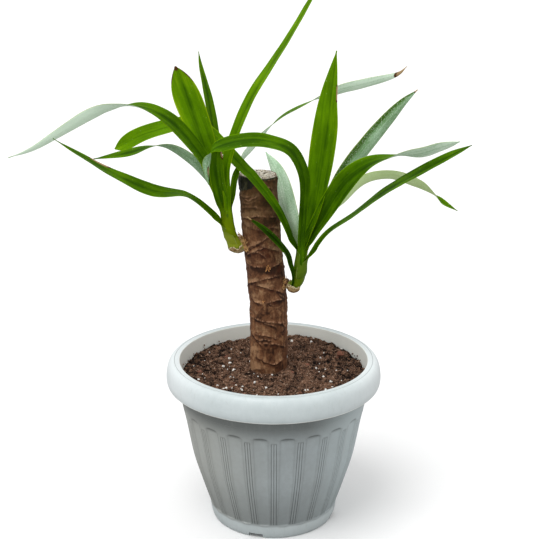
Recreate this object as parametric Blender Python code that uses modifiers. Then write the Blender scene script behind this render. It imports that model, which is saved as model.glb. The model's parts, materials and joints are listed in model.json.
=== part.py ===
"""Potted yucca: a cut cane with two leafy shoots, standing in soil in a fluted plastic pot.

Metres, +Z up. The origin is the centre of the pot's underside. The front faces -Y.
"""
import math

import bmesh
import bpy
from mathutils import Matrix, Vector, noise

MM = 0.001
GAP = 0.3

# Driving dimensions, in millimetres.
POT_DIAMETER = 250.0
POT_HEIGHT = 197.0
FLUTES = 22
FLUTE_DEPTH = 1.5
FLUTE_TOP = 142.0
FLUTE_BOTTOM = 19.0
FLUTE_END = 3.5
COLUMNS_PER_FLUTE = 4
FOOT_NOTCHES = 4
FOOT_NOTCH_WIDTH = 17.0
FOOT_NOTCH_HEIGHT = 3.4
FOOT_NOTCH_TURN = math.radians(-106.4)
DRAIN_HOLES = 8
DRAIN_HOLE_RADIUS = 4.0
DRAIN_CIRCLE_RADIUS = 55.0
SOIL_LEVEL = 178.0
SOIL_SLOPE = 0.02
SOIL_COLUMNS = 44
CANE_RADIUS = 22.0
CANE_BURIED_RADIUS = 21.4
CANE_BOTTOM = 92.0
CANE_GROUND = 192.0
CANE_TOP = 413.0
CANE_COLUMNS = 24
CANE_STEP = 6.0
CUT_EDGE = 1.2
COLLAR_LENGTH = 16.0
COLLAR_FLARE = 1.5
BLADE_THICKNESS = 0.9
BLADE_STEP = 15.0
STEM_STEP = 5.0
FRONT = Vector((0.0, -0.96, 0.28)).normalized()


def clear_scene():
    for thing in list(bpy.data.objects):
        bpy.data.objects.remove(thing, do_unlink=True)


def new_collection(name):
    collection = bpy.data.collections.new(name)
    bpy.context.scene.collection.children.link(collection)
    return collection


def new_material(name, color, roughness):
    material = bpy.data.materials.new(name)
    material.use_nodes = True
    shader = material.node_tree.nodes["Principled BSDF"]
    shader.inputs["Base Color"].default_value = (*color, 1.0)
    shader.inputs["Roughness"].default_value = roughness
    shader.inputs["Metallic"].default_value = 0.0
    return material


def new_object(name, mesh, collection, material=None):
    thing = bpy.data.objects.new(name, mesh)
    collection.objects.link(thing)
    if material:
        mesh.materials.append(material)
    return thing


def mesh_from(bm, name):
    mesh = bpy.data.meshes.new(name)
    bm.normal_update()
    bm.to_mesh(mesh)
    bm.free()
    return mesh


def shade_round(thing, degrees=35):
    thing.data.shade_smooth()
    thing.data.set_sharp_from_angle(angle=math.radians(degrees))


def apply_modifiers(thing):
    """Bake the object's modifiers into its mesh."""
    graph = bpy.context.evaluated_depsgraph_get()
    baked = bpy.data.meshes.new_from_object(thing.evaluated_get(graph))
    thing.modifiers.clear()
    thing.data = baked


def boolean_with(thing, operands, operation):
    """One Boolean against every object of a collection, applied, and the operands removed."""
    modifier = thing.modifiers.new(operation.title(), "BOOLEAN")
    modifier.operation = operation
    modifier.operand_type = "COLLECTION"
    modifier.collection = operands
    modifier.solver = "EXACT"
    bpy.context.view_layer.update()
    apply_modifiers(thing)
    for operand in list(operands.objects):
        bpy.data.objects.remove(operand, do_unlink=True)
    bpy.data.collections.remove(operands)


def keep_main_body(thing):
    """Drop loose scraps, and fill hollows that a union sealed, by keeping the largest shell."""
    bm = bmesh.new()
    bm.from_mesh(thing.data)
    unseen = set(bm.faces)
    shells = []
    while unseen:
        front = [unseen.pop()]
        shell = list(front)
        while front:
            face = front.pop()
            for edge in face.edges:
                for other in edge.link_faces:
                    if other in unseen:
                        unseen.remove(other)
                        front.append(other)
                        shell.append(other)
        shells.append(shell)
    shells.sort(key=lambda shell: sum(face.calc_area() for face in shell))
    for shell in shells[:-1]:
        bmesh.ops.delete(bm, geom=shell, context="FACES")
    bm.to_mesh(thing.data)
    bm.free()


def smooth_route(points, step):
    """Catmull-Rom curve through rows of numbers, whose first three are x, y and z."""
    rows = [Vector(point) for point in points]
    first = rows[0] * 2 - rows[1]
    last = rows[-1] * 2 - rows[-2]
    knots = [first, *rows, last]
    route = []
    for index in range(1, len(knots) - 2):
        a, b, c, d = knots[index - 1:index + 3]
        length = (Vector(c[:3]) - Vector(b[:3])).length
        count = max(1, round(length / step))
        for part in range(count):
            t = part / count
            bend = a * -1 + b * 3 - c * 3 + d
            slope = a * 2 - b * 5 + c * 4 - d
            route.append((b * 2 + (c - a) * t + slope * t * t + bend * t ** 3) * 0.5)
    route.append(rows[-1])
    return route


def lerp_profile(points, z):
    """Radius at height z on a profile of (radius, z) points that rise."""
    for (r0, z0), (r1, z1) in zip(points, points[1:]):
        if z <= z1:
            return r0 + (r1 - r0) * (z - z0) / (z1 - z0)
    return points[-1][0]


def ring_faces(bm, lower, upper):
    count = len(lower)
    for k in range(count):
        after = (k + 1) % count
        bm.faces.new((lower[k], lower[after], upper[after], upper[k]))


# The pot: rim, wall, foot ring, raised drain channel and a middle disc that stands on the ground.
RIM_RADIUS = POT_DIAMETER / 2
DISC_RADIUS = 45.0
DISC_TOP = 2.4
CHANNEL_BOTTOM = 5.5
CHANNEL_TOP = 8.0
RIM = [
    (109.3, POT_HEIGHT - 0.8), (110.5, POT_HEIGHT), (115.5, POT_HEIGHT),
    (120.6, POT_HEIGHT - 3.0), (RIM_RADIUS - 1.2, POT_HEIGHT - 10.0),
    (RIM_RADIUS, POT_HEIGHT - 20.0), (RIM_RADIUS - 1.5, POT_HEIGHT - 27.6),
    (RIM_RADIUS - 3.6, POT_HEIGHT - 27.6), (RIM_RADIUS - 3.4, POT_HEIGHT - 12.0),
    (111.8, POT_HEIGHT - 5.0),
]
OUTSIDE_WALL = [
    (75.2, 10.0), (76.4, FLUTE_BOTTOM), (77.6, FLUTE_BOTTOM + FLUTE_END), (87.7, 55.0),
    (94.9, 80.0), (99.7, 105.0), (103.2, 125.0), (106.1, FLUTE_TOP - FLUTE_END),
    (106.9, FLUTE_TOP), (109.3, 154.5), (110.4, 155.5), (111.0, 168.0),
]
FOOT = [
    (72.3, 3.0), (69.5, 0.0), (64.5, 0.0), (63.0, CHANNEL_BOTTOM),
    (DISC_RADIUS + 2.0, CHANNEL_BOTTOM), (DISC_RADIUS, 0.0), (0.0, 0.0),
]
FLOOR = [(0.0, DISC_TOP), (DISC_RADIUS - 1.0, DISC_TOP), (DISC_RADIUS + 1.5, CHANNEL_TOP)]
INSIDE_WALL = [
    (66.0, CHANNEL_TOP), (72.4, 12.0), (84.9, 55.0), (96.9, 105.0), (106.3, 154.0),
    (109.0, 192.0),
]
NOTCH_BLOCK = Vector((24.0, FOOT_NOTCH_WIDTH, FOOT_NOTCH_HEIGHT * 2))
NOTCH_RADIUS = 69.0
DRAIN_DEPTH = 30.0


def flute_depth(angle, z):
    """How far the wall is pressed in: full on the two middle columns of each flute."""
    pitch = math.tau / FLUTES
    column = round(((angle + math.pi / 2) % pitch) / pitch * COLUMNS_PER_FLUTE - 0.5)
    if column not in (1, 2):
        return 0.0
    inside = min(z - FLUTE_BOTTOM, FLUTE_TOP - z) / FLUTE_END
    return FLUTE_DEPTH * max(0.0, min(1.0, inside))


def make_pot(collection, material):
    columns = FLUTES * COLUMNS_PER_FLUTE
    bm = bmesh.new()
    rings = []
    outer_end = len(RIM) + len(OUTSIDE_WALL)
    for index, (radius, z) in enumerate(RIM + OUTSIDE_WALL[::-1] + FOOT + FLOOR + INSIDE_WALL):
        if radius == 0.0:
            rings.append([bm.verts.new((0.0, 0.0, z * MM))])
            continue
        ring = []
        for k in range(columns):
            angle = -math.pi / 2 + (k + 0.5) * math.tau / columns
            pressed = flute_depth(angle, z) if len(RIM) <= index < outer_end else 0.0
            r = (radius - pressed) * MM
            ring.append(bm.verts.new((r * math.cos(angle), r * math.sin(angle), z * MM)))
        rings.append(ring)
    for upper, lower in zip(rings, rings[1:] + rings[:1]):
        if len(upper) == len(lower) == 1:
            continue
        if len(lower) == 1:
            for k in range(columns):
                bm.faces.new((lower[0], upper[(k + 1) % columns], upper[k]))
        elif len(upper) == 1:
            for k in range(columns):
                bm.faces.new((upper[0], lower[k], lower[(k + 1) % columns]))
        else:
            ring_faces(bm, lower, upper)
    bmesh.ops.recalc_face_normals(bm, faces=bm.faces)
    pot = new_object("pot", mesh_from(bm, "pot"), collection, material)
    cutters = new_collection("drain_cutters")
    for k in range(DRAIN_HOLES):
        angle = (k + 0.5) * math.tau / DRAIN_HOLES
        bm = bmesh.new()
        bmesh.ops.create_cone(bm, cap_ends=True, segments=12, depth=DRAIN_DEPTH * MM,
                              radius1=DRAIN_HOLE_RADIUS * MM, radius2=DRAIN_HOLE_RADIUS * MM)
        place = Vector((math.cos(angle), math.sin(angle), 0.0)) * DRAIN_CIRCLE_RADIUS * MM
        bmesh.ops.translate(bm, verts=bm.verts, vec=place)
        new_cutter("drain_hole", bm, cutters)
    for k in range(FOOT_NOTCHES):
        angle = FOOT_NOTCH_TURN + k * math.tau / FOOT_NOTCHES
        bm = bmesh.new()
        bmesh.ops.create_cube(bm, size=1.0)
        bmesh.ops.scale(bm, verts=bm.verts, vec=NOTCH_BLOCK * MM)
        bmesh.ops.translate(bm, verts=bm.verts, vec=Vector((NOTCH_RADIUS * MM, 0.0, 0.0)))
        turn = Matrix.Rotation(angle, 3, "Z")
        bmesh.ops.rotate(bm, verts=bm.verts, cent=(0, 0, 0), matrix=turn)
        new_cutter("foot_notch", bm, cutters)
    boolean_with(pot, cutters, "DIFFERENCE")
    shade_round(pot, 30)
    return pot


def new_cutter(name, bm, collection):
    cutter = new_object(name, mesh_from(bm, name), collection)
    cutter.hide_render = True
    cutter.display_type = "WIRE"
    return cutter


# The soil: it fills the pot to about 2 cm under the rim, with an uneven, crumbly top.
CANE_BASE = (-5.5, 14.0)
SOIL_RINGS = (0.2, 0.34, 0.46, 0.57, 0.67, 0.76, 0.85, 0.93, 1.0)
# Middle, height and spread of the heap behind the cane and of the hollow at its left.
SOIL_SWELLS = [(Vector((28.0, 78.0)), 3.0, 38.7), (Vector((-62.0, -10.0)), -2.5, 30.0)]
# Size and height of the lumps and of the crumbs, and the slice of noise that each takes.
SOIL_GRAIN = [(17.0, 1.9, 0.0), (6.5, 1.4, 40.0)]


def soil_height(x, y):
    """Height of the soil's top at a place in millimetres."""
    height = SOIL_LEVEL + SOIL_SLOPE * y
    for middle, rise, spread in SOIL_SWELLS:
        height += rise * math.exp(-(Vector((x, y)) - middle).length_squared / spread ** 2)
    for size, rise, layer in SOIL_GRAIN:
        height += rise * noise.noise(Vector((x, y, layer)) / size)
    return height


def make_soil(collection, material):
    bm = bmesh.new()
    wall = [(r - GAP, z) for r, z in INSIDE_WALL]
    bottom = DISC_TOP + GAP
    floor = CHANNEL_TOP + GAP
    side = [(DISC_RADIUS - 1.6, bottom), (DISC_RADIUS + 1.0, floor), (wall[0][0], floor)]
    side += [point for point in wall[1:] if point[1] < SOIL_LEVEL - 12.0]
    angles = [-math.pi / 2 + (k + 0.25) * math.tau / SOIL_COLUMNS for k in range(SOIL_COLUMNS)]
    rings = []
    for radius, z in side:
        rings.append([bm.verts.new((radius * math.cos(a) * MM, radius * math.sin(a) * MM, z * MM))
                      for a in angles])
    for share in SOIL_RINGS[::-1]:
        ring = []
        for angle in angles:
            x, y = math.cos(angle), math.sin(angle)
            radius = share * lerp_profile(wall, SOIL_LEVEL)
            z = soil_height(x * radius, y * radius)
            if share == 1.0:
                radius = lerp_profile(wall, z)
            ring.append(bm.verts.new((x * radius * MM, y * radius * MM, z * MM)))
        rings.append(ring)
    for lower, upper in zip(rings, rings[1:]):
        ring_faces(bm, lower, upper)
    base = bm.verts.new((0.0, 0.0, bottom * MM))
    top = bm.verts.new((0.0, 0.0, soil_height(0.0, 0.0) * MM))
    for k in range(SOIL_COLUMNS):
        after = (k + 1) % SOIL_COLUMNS
        bm.faces.new((base, rings[0][after], rings[0][k]))
        bm.faces.new((top, rings[-1][k], rings[-1][after]))
    soil = new_object("soil", mesh_from(bm, "soil"), collection, material)
    hole = new_collection("soil_cutters")
    bm = bmesh.new()
    depth = (POT_HEIGHT + 20.0) - (CANE_BOTTOM - GAP)
    bmesh.ops.create_cone(bm, cap_ends=True, segments=CANE_COLUMNS, depth=depth * MM,
                          radius1=(CANE_BURIED_RADIUS + GAP) * MM,
                          radius2=(CANE_BURIED_RADIUS + GAP) * MM)
    place = Vector((*CANE_BASE, CANE_BOTTOM - GAP + depth / 2)) * MM
    bmesh.ops.translate(bm, verts=bm.verts, vec=place)
    new_cutter("cane_hole", bm, hole)
    boolean_with(soil, hole, "DIFFERENCE")
    shade_round(soil, 50)
    return soil


# The cane: a stout woody stem, sawn off level, with ring scars where old leaves sat.
CANE_ROUTE = [
    (-5.5, 14.0, 192.0), (-5.6, 14.0, 225.0), (-6.2, 14.0, 262.0), (-9.0, 14.0, 295.0),
    (-12.8, 14.0, 330.0), (-15.2, 14.0, 362.0), (-17.0, 14.0, 390.0), (-18.0, 14.0, CANE_TOP),
]
# Height, sideways tilt and depthwise tilt of each scar, in millimetres.
CANE_SCARS = [
    (203, 3, 2), (214, -4, 2), (229, 3, -2), (241, -2, 3), (254, 4, 1), (268, -3, -2),
    (281, 2, 3), (296, -4, 1), (312, 3, -3), (327, -3, 2), (341, 5, 2), (357, -3, -2),
    (371, 3, 2), (384, -4, 1), (398, 2, -2),
]
SCAR_RISE = 0.9
SCAR_DIP = 0.4
SCAR_REACH = 10.0


def cane_radius(angle, z):
    """The bark stands out just above each scar, thins upward, and is drawn in just below it."""
    radius = CANE_RADIUS
    for height, tilt_x, tilt_y in CANE_SCARS:
        above = z - (height + tilt_x * math.cos(angle) + tilt_y * math.sin(angle))
        if 0.0 <= above < SCAR_REACH:
            radius += (SCAR_RISE + SCAR_DIP) * (1.0 - above / SCAR_REACH) - SCAR_DIP
        elif -SCAR_REACH / 2 < above < 0.0:
            radius -= SCAR_DIP * (1.0 + 2.0 * above / SCAR_REACH)
    return radius


def make_cane(collection, material):
    bm = bmesh.new()
    rings = []
    angles = [math.pi / 2 + k * math.tau / CANE_COLUMNS for k in range(CANE_COLUMNS)]

    def ring(centre, z, radius_at):
        verts = []
        for angle in angles:
            r = radius_at(angle)
            x = centre[0] + r * math.cos(angle)
            y = centre[1] + r * math.sin(angle)
            verts.append(bm.verts.new((x * MM, y * MM, z * MM)))
        rings.append(verts)

    for z in (CANE_BOTTOM, CANE_GROUND):
        ring(CANE_BASE, z, lambda angle: CANE_BURIED_RADIUS)
    for x, y, z in smooth_route(CANE_ROUTE, CANE_STEP)[1:-1]:
        ring((x, y), z, lambda angle: cane_radius(angle, z))
    x, y, z = CANE_ROUTE[-1]
    ring((x, y), z - CUT_EDGE, lambda angle: CANE_RADIUS)
    ring((x, y), z, lambda angle: CANE_RADIUS - CUT_EDGE)
    for lower, upper in zip(rings, rings[1:]):
        ring_faces(bm, lower, upper)
    bm.faces.new(rings[0][::-1])
    bm.faces.new(rings[-1])
    bmesh.ops.triangulate(bm, faces=[face for face in bm.faces if len(face.verts) == 4])
    cane = new_object("cane", mesh_from(bm, "cane"), collection, material)
    collars = new_collection("cane_collars")
    for shoot in SHOOTS.values():
        start, radius = Vector(shoot["seat"]), shoot["seat_radius"]
        outward = Vector(shoot["outward"]).normalized()
        bm = bmesh.new()
        bmesh.ops.create_cone(bm, cap_ends=True, segments=12, depth=COLLAR_LENGTH * MM,
                              radius1=(radius + COLLAR_FLARE) * MM, radius2=radius * MM)
        turn = outward.to_track_quat("Z", "Y").to_matrix()
        bmesh.ops.rotate(bm, verts=bm.verts, cent=(0, 0, 0), matrix=turn)
        middle = start - outward * COLLAR_LENGTH / 2
        bmesh.ops.translate(bm, verts=bm.verts, vec=middle * MM)
        new_object("collar", mesh_from(bm, "collar"), collars)
    boolean_with(cane, collars, "UNION")
    keep_main_body(cane)
    shade_round(cane, 40)
    return cane


# The shoots: each has a short stem that bends up from a collar on the cane, and strap leaves.
# A leaf's route gives x, y and z of its midrib, and how far the blade is turned about it from
# facing the front: 0 shows the upper side, 90 the edge, with the face up, and 180 the underside.
LEFT_LEAVES = {
    "lowest": dict(width=18, widest=0.5, base=0.4, route=[
        (-47, 1, 338, 10), (-57, -6, 356, 30), (-69, -15, 376, 52), (-95, -40, 403, 68),
        (-130, -72, 417, 42), (-169, -102, 444, 60), (-204, -124, 472, 62),
        (-219, -132, 484, 62)]),
    "long_arch": dict(width=22, widest=0.45, base=0.4, route=[
        (-48, -1, 346, 20), (-60, -14, 396, 35), (-75, -25, 438, 42), (-105, -44, 481, 45),
        (-134, -66, 503, 76), (-164, -88, 507, 102), (-191, -104, 500, 122),
        (-239, -122, 473, 118), (-265, -130, 464, 125)]),
    "short_arch": dict(width=22, widest=0.42, base=0.4, route=[
        (-50, -1, 350, 150), (-62, -4, 393, 128), (-76, -7, 420, 122), (-105, -13, 446, 113),
        (-129, -18, 452, 88), (-161, -24, 445, 55), (-195, -30, 440, 45)]),
    "broad": dict(width=31, widest=0.7, base=0.32, taper=3.7, route=[
        (-49, -2, 349, 25), (-58, -9, 392, 20), (-75, -14, 452, 32), (-81, -13, 471, 30),
        (-94, -8, 503, 8), (-107, 2, 535, 0)]),
    "narrow_back": dict(width=15, widest=0.6, base=0.4, route=[
        (-50, -1, 351, 20), (-59, 10, 409, 35), (-71, 28, 487, 50), (-81, 44, 527, 50),
        (-84, 51, 544, 50)]),
    "tallest": dict(width=15.5, widest=0.45, base=0.4, route=[
        (-50, -3, 350, 0), (-50, -14, 396, 0), (-49, -18, 428, 20), (-41, -20, 466, 42),
        (-26, -16, 504, 45), (1, -4, 545, 55), (18, 4, 570, 55), (62, 32, 642, 50)]),
    "front": dict(width=17, widest=0.5, base=0.75, route=[
        (-50, -4, 352, 20), (-54.5, -12, 378, 25), (-59.5, -19, 402, 30), (-62, -25, 420, 30),
        (-63.5, -28, 438, 30), (-63, -35, 452, 30), (-61, -38, 460, 30)]),
    "long_thin": dict(width=14, widest=0.6, base=0.4, route=[
        (-50, -2, 352, 10), (-44, -1, 392, 10), (-42, 2, 413, 60), (-35, 6, 432, 130),
        (-24, 11, 445, 130), (5, 28, 472, 78), (37, 46, 487, 78), (72, 66, 498, 128),
        (103, 82, 503, 138), (142, 100, 510, 150), (156, 107, 519, 150)]),
}
RIGHT_LEAVES = {
    "tall_broad": dict(width=30, widest=0.55, base=0.3, route=[
        (29, 3, 300, 20), (33, 0, 334, 40), (45, -7, 388, 35), (55, -8, 462, 20),
        (59, -1, 501, 30), (68, 14, 550, 35)]),
    "behind": dict(width=22, widest=0.55, base=0.4, route=[
        (29, 5, 304, 145), (27, 17, 340, 135), (16, 38, 372, 152), (5, 58, 404, 163),
        (-9, 76, 424, 170)]),
    "front_arch": dict(width=20, widest=0.5, base=0.4, route=[
        (29, -1, 305, 5), (32, -16, 368, 42), (33, -34, 419, 45), (19, -51, 453, 45),
        (-6, -64, 467, 42), (-32, -71, 469.5, 35), (-56, -75, 464.5, 30), (-65, -76, 459, 75),
        (-71, -77, 445, 150), (-69, -79, 424, 160)]),
    "crossing": dict(width=18, widest=0.82, base=0.45, route=[
        (28, 1, 305, 30), (24, -3, 329, 35), (6, -14, 377, 35), (-21, -13, 414, 35),
        (-34, -8, 426, 30), (-65, 5.5, 456, 35), (-82, 12.5, 468, 40), (-100, 19, 470, 40),
        (-147, 32, 455, 30), (-181, 42, 435, 15)]),
    "small": dict(width=9, widest=0.5, base=0.7, route=[
        (22.5, 3, 285, 10), (21.5, -2, 297, 25), (19, -8, 312, 40), (14, -14, 330, 45),
        (-7, -20, 355, 25), (-30, -18, 372, 10)]),
    "wide_low": dict(width=26, widest=0.4, base=0.4, route=[
        (32, 0, 306, 30), (36.5, -4, 335, 30), (49, -11, 364, 30), (75, -32, 413, 30),
        (98, -48, 438, 65), (123, -64, 450, 90), (151, -80, 457, 122), (169, -89, 465, 140),
        (188, -100, 474, 150)]),
    "back": dict(width=22, widest=0.55, base=0.4, route=[
        (32, 3, 304, 155), (38, 11, 330, 155), (49, 23, 349, 155), (80, 56, 397, 150),
        (113, 84, 429, 152), (150, 108, 467, 160), (171, 122, 489, 160)]),
    "pale_arch": dict(width=18, widest=0.5, base=0.4, route=[
        (32, 2, 306, 20), (43, 8, 340, 45), (53, 11, 353, 70), (63, 16, 366, 105),
        (77, 23, 380, 125), (103, 38, 400, 125), (136, 54, 402, 120), (169, 68, 388, 128),
        (191, 77, 371, 95), (205, 81, 360, 45), (220, 86, 350, 30)]),
    "lowest": dict(width=16, widest=0.6, base=0.4, route=[
        (32, 0, 300, 10), (42, -8, 322, 20), (54, -15, 339, 45), (88, -38, 381.5, 68),
        (119, -62, 414, 62), (164, -98, 451.5, 55), (196, -126, 476, 45)]),
}
SHOOTS = {
    "left_shoot": dict(
        seat=(-36.5, 8.0, 331.0), outward=(-0.95, -0.3, 0.0), seat_radius=7.5,
        stem=[(-41.5, 5.5, 329.5, 8), (-45.5, 3.5, 334, 8.8), (-48, 1, 344, 8.5),
              (-50, -1.5, 356, 8), (-52, -5, 370, 6.8), (-54, -7.5, 384, 4.5)],
        leaves=LEFT_LEAVES),
    "right_shoot": dict(
        seat=(17.5, 8.0, 284.5), outward=(0.98, -0.15, -0.1), seat_radius=6.0,
        stem=[(22.5, 7, 282, 7), (27.5, 5, 286, 7.5), (29.5, 3, 298, 7.5), (31, 0.5, 316, 6.5),
              (32.5, -1.5, 334, 4)],
        leaves=RIGHT_LEAVES),
}
STEM_SIDES = 10
CHANNEL = 0.16
BLUNTNESS = 2.2
TIP_SHARE = 0.06


def blade_share(share, leaf):
    """Blade width along a strap leaf: narrow at its base, widest part way, then a long taper."""
    if share < leaf["widest"]:
        t = share / leaf["widest"]
        return leaf["base"] + (1.0 - leaf["base"]) * t * t * (3.0 - 2.0 * t)
    t = (share - leaf["widest"]) / (1.0 - leaf["widest"])
    return max(TIP_SHARE, 1.0 - t ** leaf.get("taper", BLUNTNESS))


def make_leaf(name, leaf, collection):
    """One channelled strap blade: a folded open strip, made solid with Solidify."""
    route = smooth_route(leaf["route"], BLADE_STEP)
    places = [Vector(point[:3]) for point in route]
    reach = [0.0]
    for before, after in zip(places, places[1:]):
        reach.append(reach[-1] + (after - before).length)
    side = 1.0 if places[-1].x > places[0].x else -1.0
    bm = bmesh.new()
    rows = []
    for index, place in enumerate(places):
        ahead = places[min(index + 1, len(places) - 1)]
        behind = places[max(index - 1, 0)]
        along = (ahead - behind).normalized()
        across = along.cross(FRONT).normalized() * side
        face = (across.cross(along) * side).normalized()
        turn = math.radians(route[index][3])
        edge = across * math.cos(turn) + face * math.sin(turn)
        up = edge.cross(along) * side
        half = leaf["width"] / 2 * blade_share(reach[index] / reach[-1], leaf)
        dip = half * 2 * CHANNEL
        row = [place - edge * half, place - up * dip, place + edge * half]
        rows.append([bm.verts.new(point * MM) for point in row])
    for lower, upper in zip(rows, rows[1:]):
        bm.faces.new((lower[0], lower[1], upper[1]))
        bm.faces.new((lower[0], upper[1], upper[0]))
        bm.faces.new((lower[1], lower[2], upper[1]))
        bm.faces.new((lower[2], upper[2], upper[1]))
    if side < 0:
        bmesh.ops.reverse_faces(bm, faces=bm.faces)
    blade = new_object(name, mesh_from(bm, name), collection)
    solid = blade.modifiers.new("Thickness", "SOLIDIFY")
    solid.thickness = BLADE_THICKNESS * MM
    solid.offset = 0.0
    apply_modifiers(blade)
    return blade


def make_shoot(name, shoot, collection, material):
    outward = Vector(shoot["outward"]).normalized()
    seat = Vector(shoot["seat"]) + outward * GAP
    start = (*seat, shoot["seat_radius"])
    route = smooth_route([start, *shoot["stem"]], STEM_STEP)
    bm = bmesh.new()
    rings = []
    for index, point in enumerate(route):
        place = Vector(point[:3])
        if index == 0:
            along = outward
        else:
            ahead = Vector(route[min(index + 1, len(route) - 1)][:3])
            along = (ahead - Vector(route[index - 1][:3])).normalized()
        across = along.cross(Vector((0.0, 1.0, 0.0))).normalized()
        up = along.cross(across)
        ring = []
        for k in range(STEM_SIDES):
            angle = k * math.tau / STEM_SIDES
            offset = across * math.cos(angle) + up * math.sin(angle)
            ring.append(bm.verts.new((place + offset * point[3]) * MM))
        rings.append(ring)
    for lower, upper in zip(rings, rings[1:]):
        ring_faces(bm, lower, upper)
    bm.faces.new(rings[0][::-1])
    bm.faces.new(rings[-1])
    bmesh.ops.triangulate(bm, faces=[face for face in bm.faces if len(face.verts) == 4])
    bmesh.ops.recalc_face_normals(bm, faces=bm.faces)
    stem = new_object(name, mesh_from(bm, name), collection, material)
    blades = new_collection(name + "_blades")
    for leaf_name, leaf in shoot["leaves"].items():
        make_leaf(name + "_" + leaf_name, leaf, blades)
    boolean_with(stem, blades, "UNION")
    keep_main_body(stem)
    shade_round(stem, 50)
    return stem


# Colours are linear.
OFF_WHITE = (0.62, 0.64, 0.63)
PEAT_BROWN = (0.07, 0.035, 0.025)
BARK_BROWN = (0.18, 0.10, 0.06)
YUCCA_GREEN = (0.09, 0.22, 0.02)

clear_scene()
plant = new_collection("potted_yucca")
make_pot(plant, new_material("pot_plastic", OFF_WHITE, 0.45))
make_soil(plant, new_material("potting_soil", PEAT_BROWN, 0.95))
make_cane(plant, new_material("cane_bark", BARK_BROWN, 0.85))
leaf_green = new_material("leaf_green", YUCCA_GREEN, 0.45)
for shoot_name, shoot_plan in SHOOTS.items():
    make_shoot(shoot_name, shoot_plan, plant, leaf_green)
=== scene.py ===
"""The looks of a potted yucca: a cut cane with two leafy shoots in a fluted plastic pot.

Each section below is one piece of the plant or its pot. Sizes are in millimetres in the frame
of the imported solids: +Z up, the front towards -Y, the origin under the middle of the pot.
"""

import json
import math
import random

import bmesh
import bpy
from mathutils import Matrix, Vector, noise

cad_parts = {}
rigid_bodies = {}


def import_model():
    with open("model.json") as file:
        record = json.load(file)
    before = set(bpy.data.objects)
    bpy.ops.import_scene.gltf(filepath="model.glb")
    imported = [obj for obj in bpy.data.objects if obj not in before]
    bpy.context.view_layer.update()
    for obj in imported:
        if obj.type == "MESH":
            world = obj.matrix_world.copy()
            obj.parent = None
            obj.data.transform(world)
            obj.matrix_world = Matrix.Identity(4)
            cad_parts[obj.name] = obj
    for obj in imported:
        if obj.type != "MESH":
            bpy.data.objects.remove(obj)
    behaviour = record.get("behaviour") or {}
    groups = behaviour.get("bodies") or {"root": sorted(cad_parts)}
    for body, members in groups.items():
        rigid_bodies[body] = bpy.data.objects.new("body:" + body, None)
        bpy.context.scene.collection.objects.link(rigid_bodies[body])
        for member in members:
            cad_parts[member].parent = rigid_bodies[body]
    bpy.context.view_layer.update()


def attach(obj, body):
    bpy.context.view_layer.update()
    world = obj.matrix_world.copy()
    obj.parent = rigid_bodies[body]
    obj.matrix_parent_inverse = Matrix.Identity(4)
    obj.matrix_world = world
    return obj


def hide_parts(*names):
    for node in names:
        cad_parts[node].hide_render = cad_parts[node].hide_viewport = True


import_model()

# The camera stands a little above the leaves, 1.3 m in front of the pot, and looks down on it.
# Its long lens gives the frame's long side of 539 pixels a focal length of 1200 pixels.
MM = 0.001
FOCAL_PIXELS = 1200.0
LONG_SIDE_PIXELS = 539.0
CAMERA_PLACE = Vector((-8.2, -1298.0, 731.0))
CAMERA_PITCH = math.radians(18.19)

lens = bpy.data.cameras.new("camera")
lens.sensor_width = 36.0
lens.lens = FOCAL_PIXELS / LONG_SIDE_PIXELS * lens.sensor_width
lens.clip_start = 0.01
camera = bpy.data.objects.new("camera", lens)
camera.location = CAMERA_PLACE * MM
camera.rotation_euler = (math.pi / 2 - CAMERA_PITCH, 0.0, 0.0)
bpy.context.scene.collection.objects.link(camera)
bpy.context.scene.camera = camera

# The pot: one shell moulded in off-white plastic, with a rolled rim, 22 shallow flutes with narrow
# strips of three grooves between them, and a plain foot ring with four drain notches and eight
# drain holes. It has soil stains inside, above the soil.
FLUTES = 22
FLUTE_PITCH = math.tau / FLUTES
FLUTE_DEPTH = 1.8
FLUTE_TOP = 142.0
FLUTE_BOTTOM = 18.6
FLUTE_ARCH = 1.3
FLUTE_END = 0.8
GROOVE_TOP = 136.6
GROOVE_BOTTOM = 19.0
GROOVE_END = 0.6
STRIP_EDGE = 3.5
# Across a strip from its middle: the distance and how deep the groove is there.
GROOVES = [(0.0, 0.6), (0.35, 0.5), (0.6, 0.0), (2.3, 0.0), (2.55, 0.5), (2.9, 0.6), (3.25, 0.5),
           (STRIP_EDGE, 0.0)]
# Across half a flute, from its edge at 1 to its middle at 0.
FLUTE_SHARES = [1.0, 0.93, 0.8, 0.6, 0.35, 0.0]
FOOT_HEIGHT = 15.0
FOOT_NOTCHES = 4
FOOT_NOTCH = Vector((24.0, 17.0, 11.0))
FOOT_NOTCH_RADIUS = 69.0
FOOT_NOTCH_TURN = math.radians(-106.4)
DRAIN_HOLES = 8
DRAIN_HOLE_RADIUS = 4.0
DRAIN_CIRCLE = 55.0
# The inside is painted paler than the outside, partly as painted light, up to the lip; painted
# shade lies in a line in the fine groove round the lip; and the rolled rim hangs down to its
# bottom, whose edge takes the inside's pale colour as a painted highlight.
INSIDE_RADIUS = 110.0
LIP_LINE = (115.0, 115.7)
LIP_HEIGHT = 196.0
RIM_EDGE_RADIUS = 121.0
RIM_BOTTOM = 169.0

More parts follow.
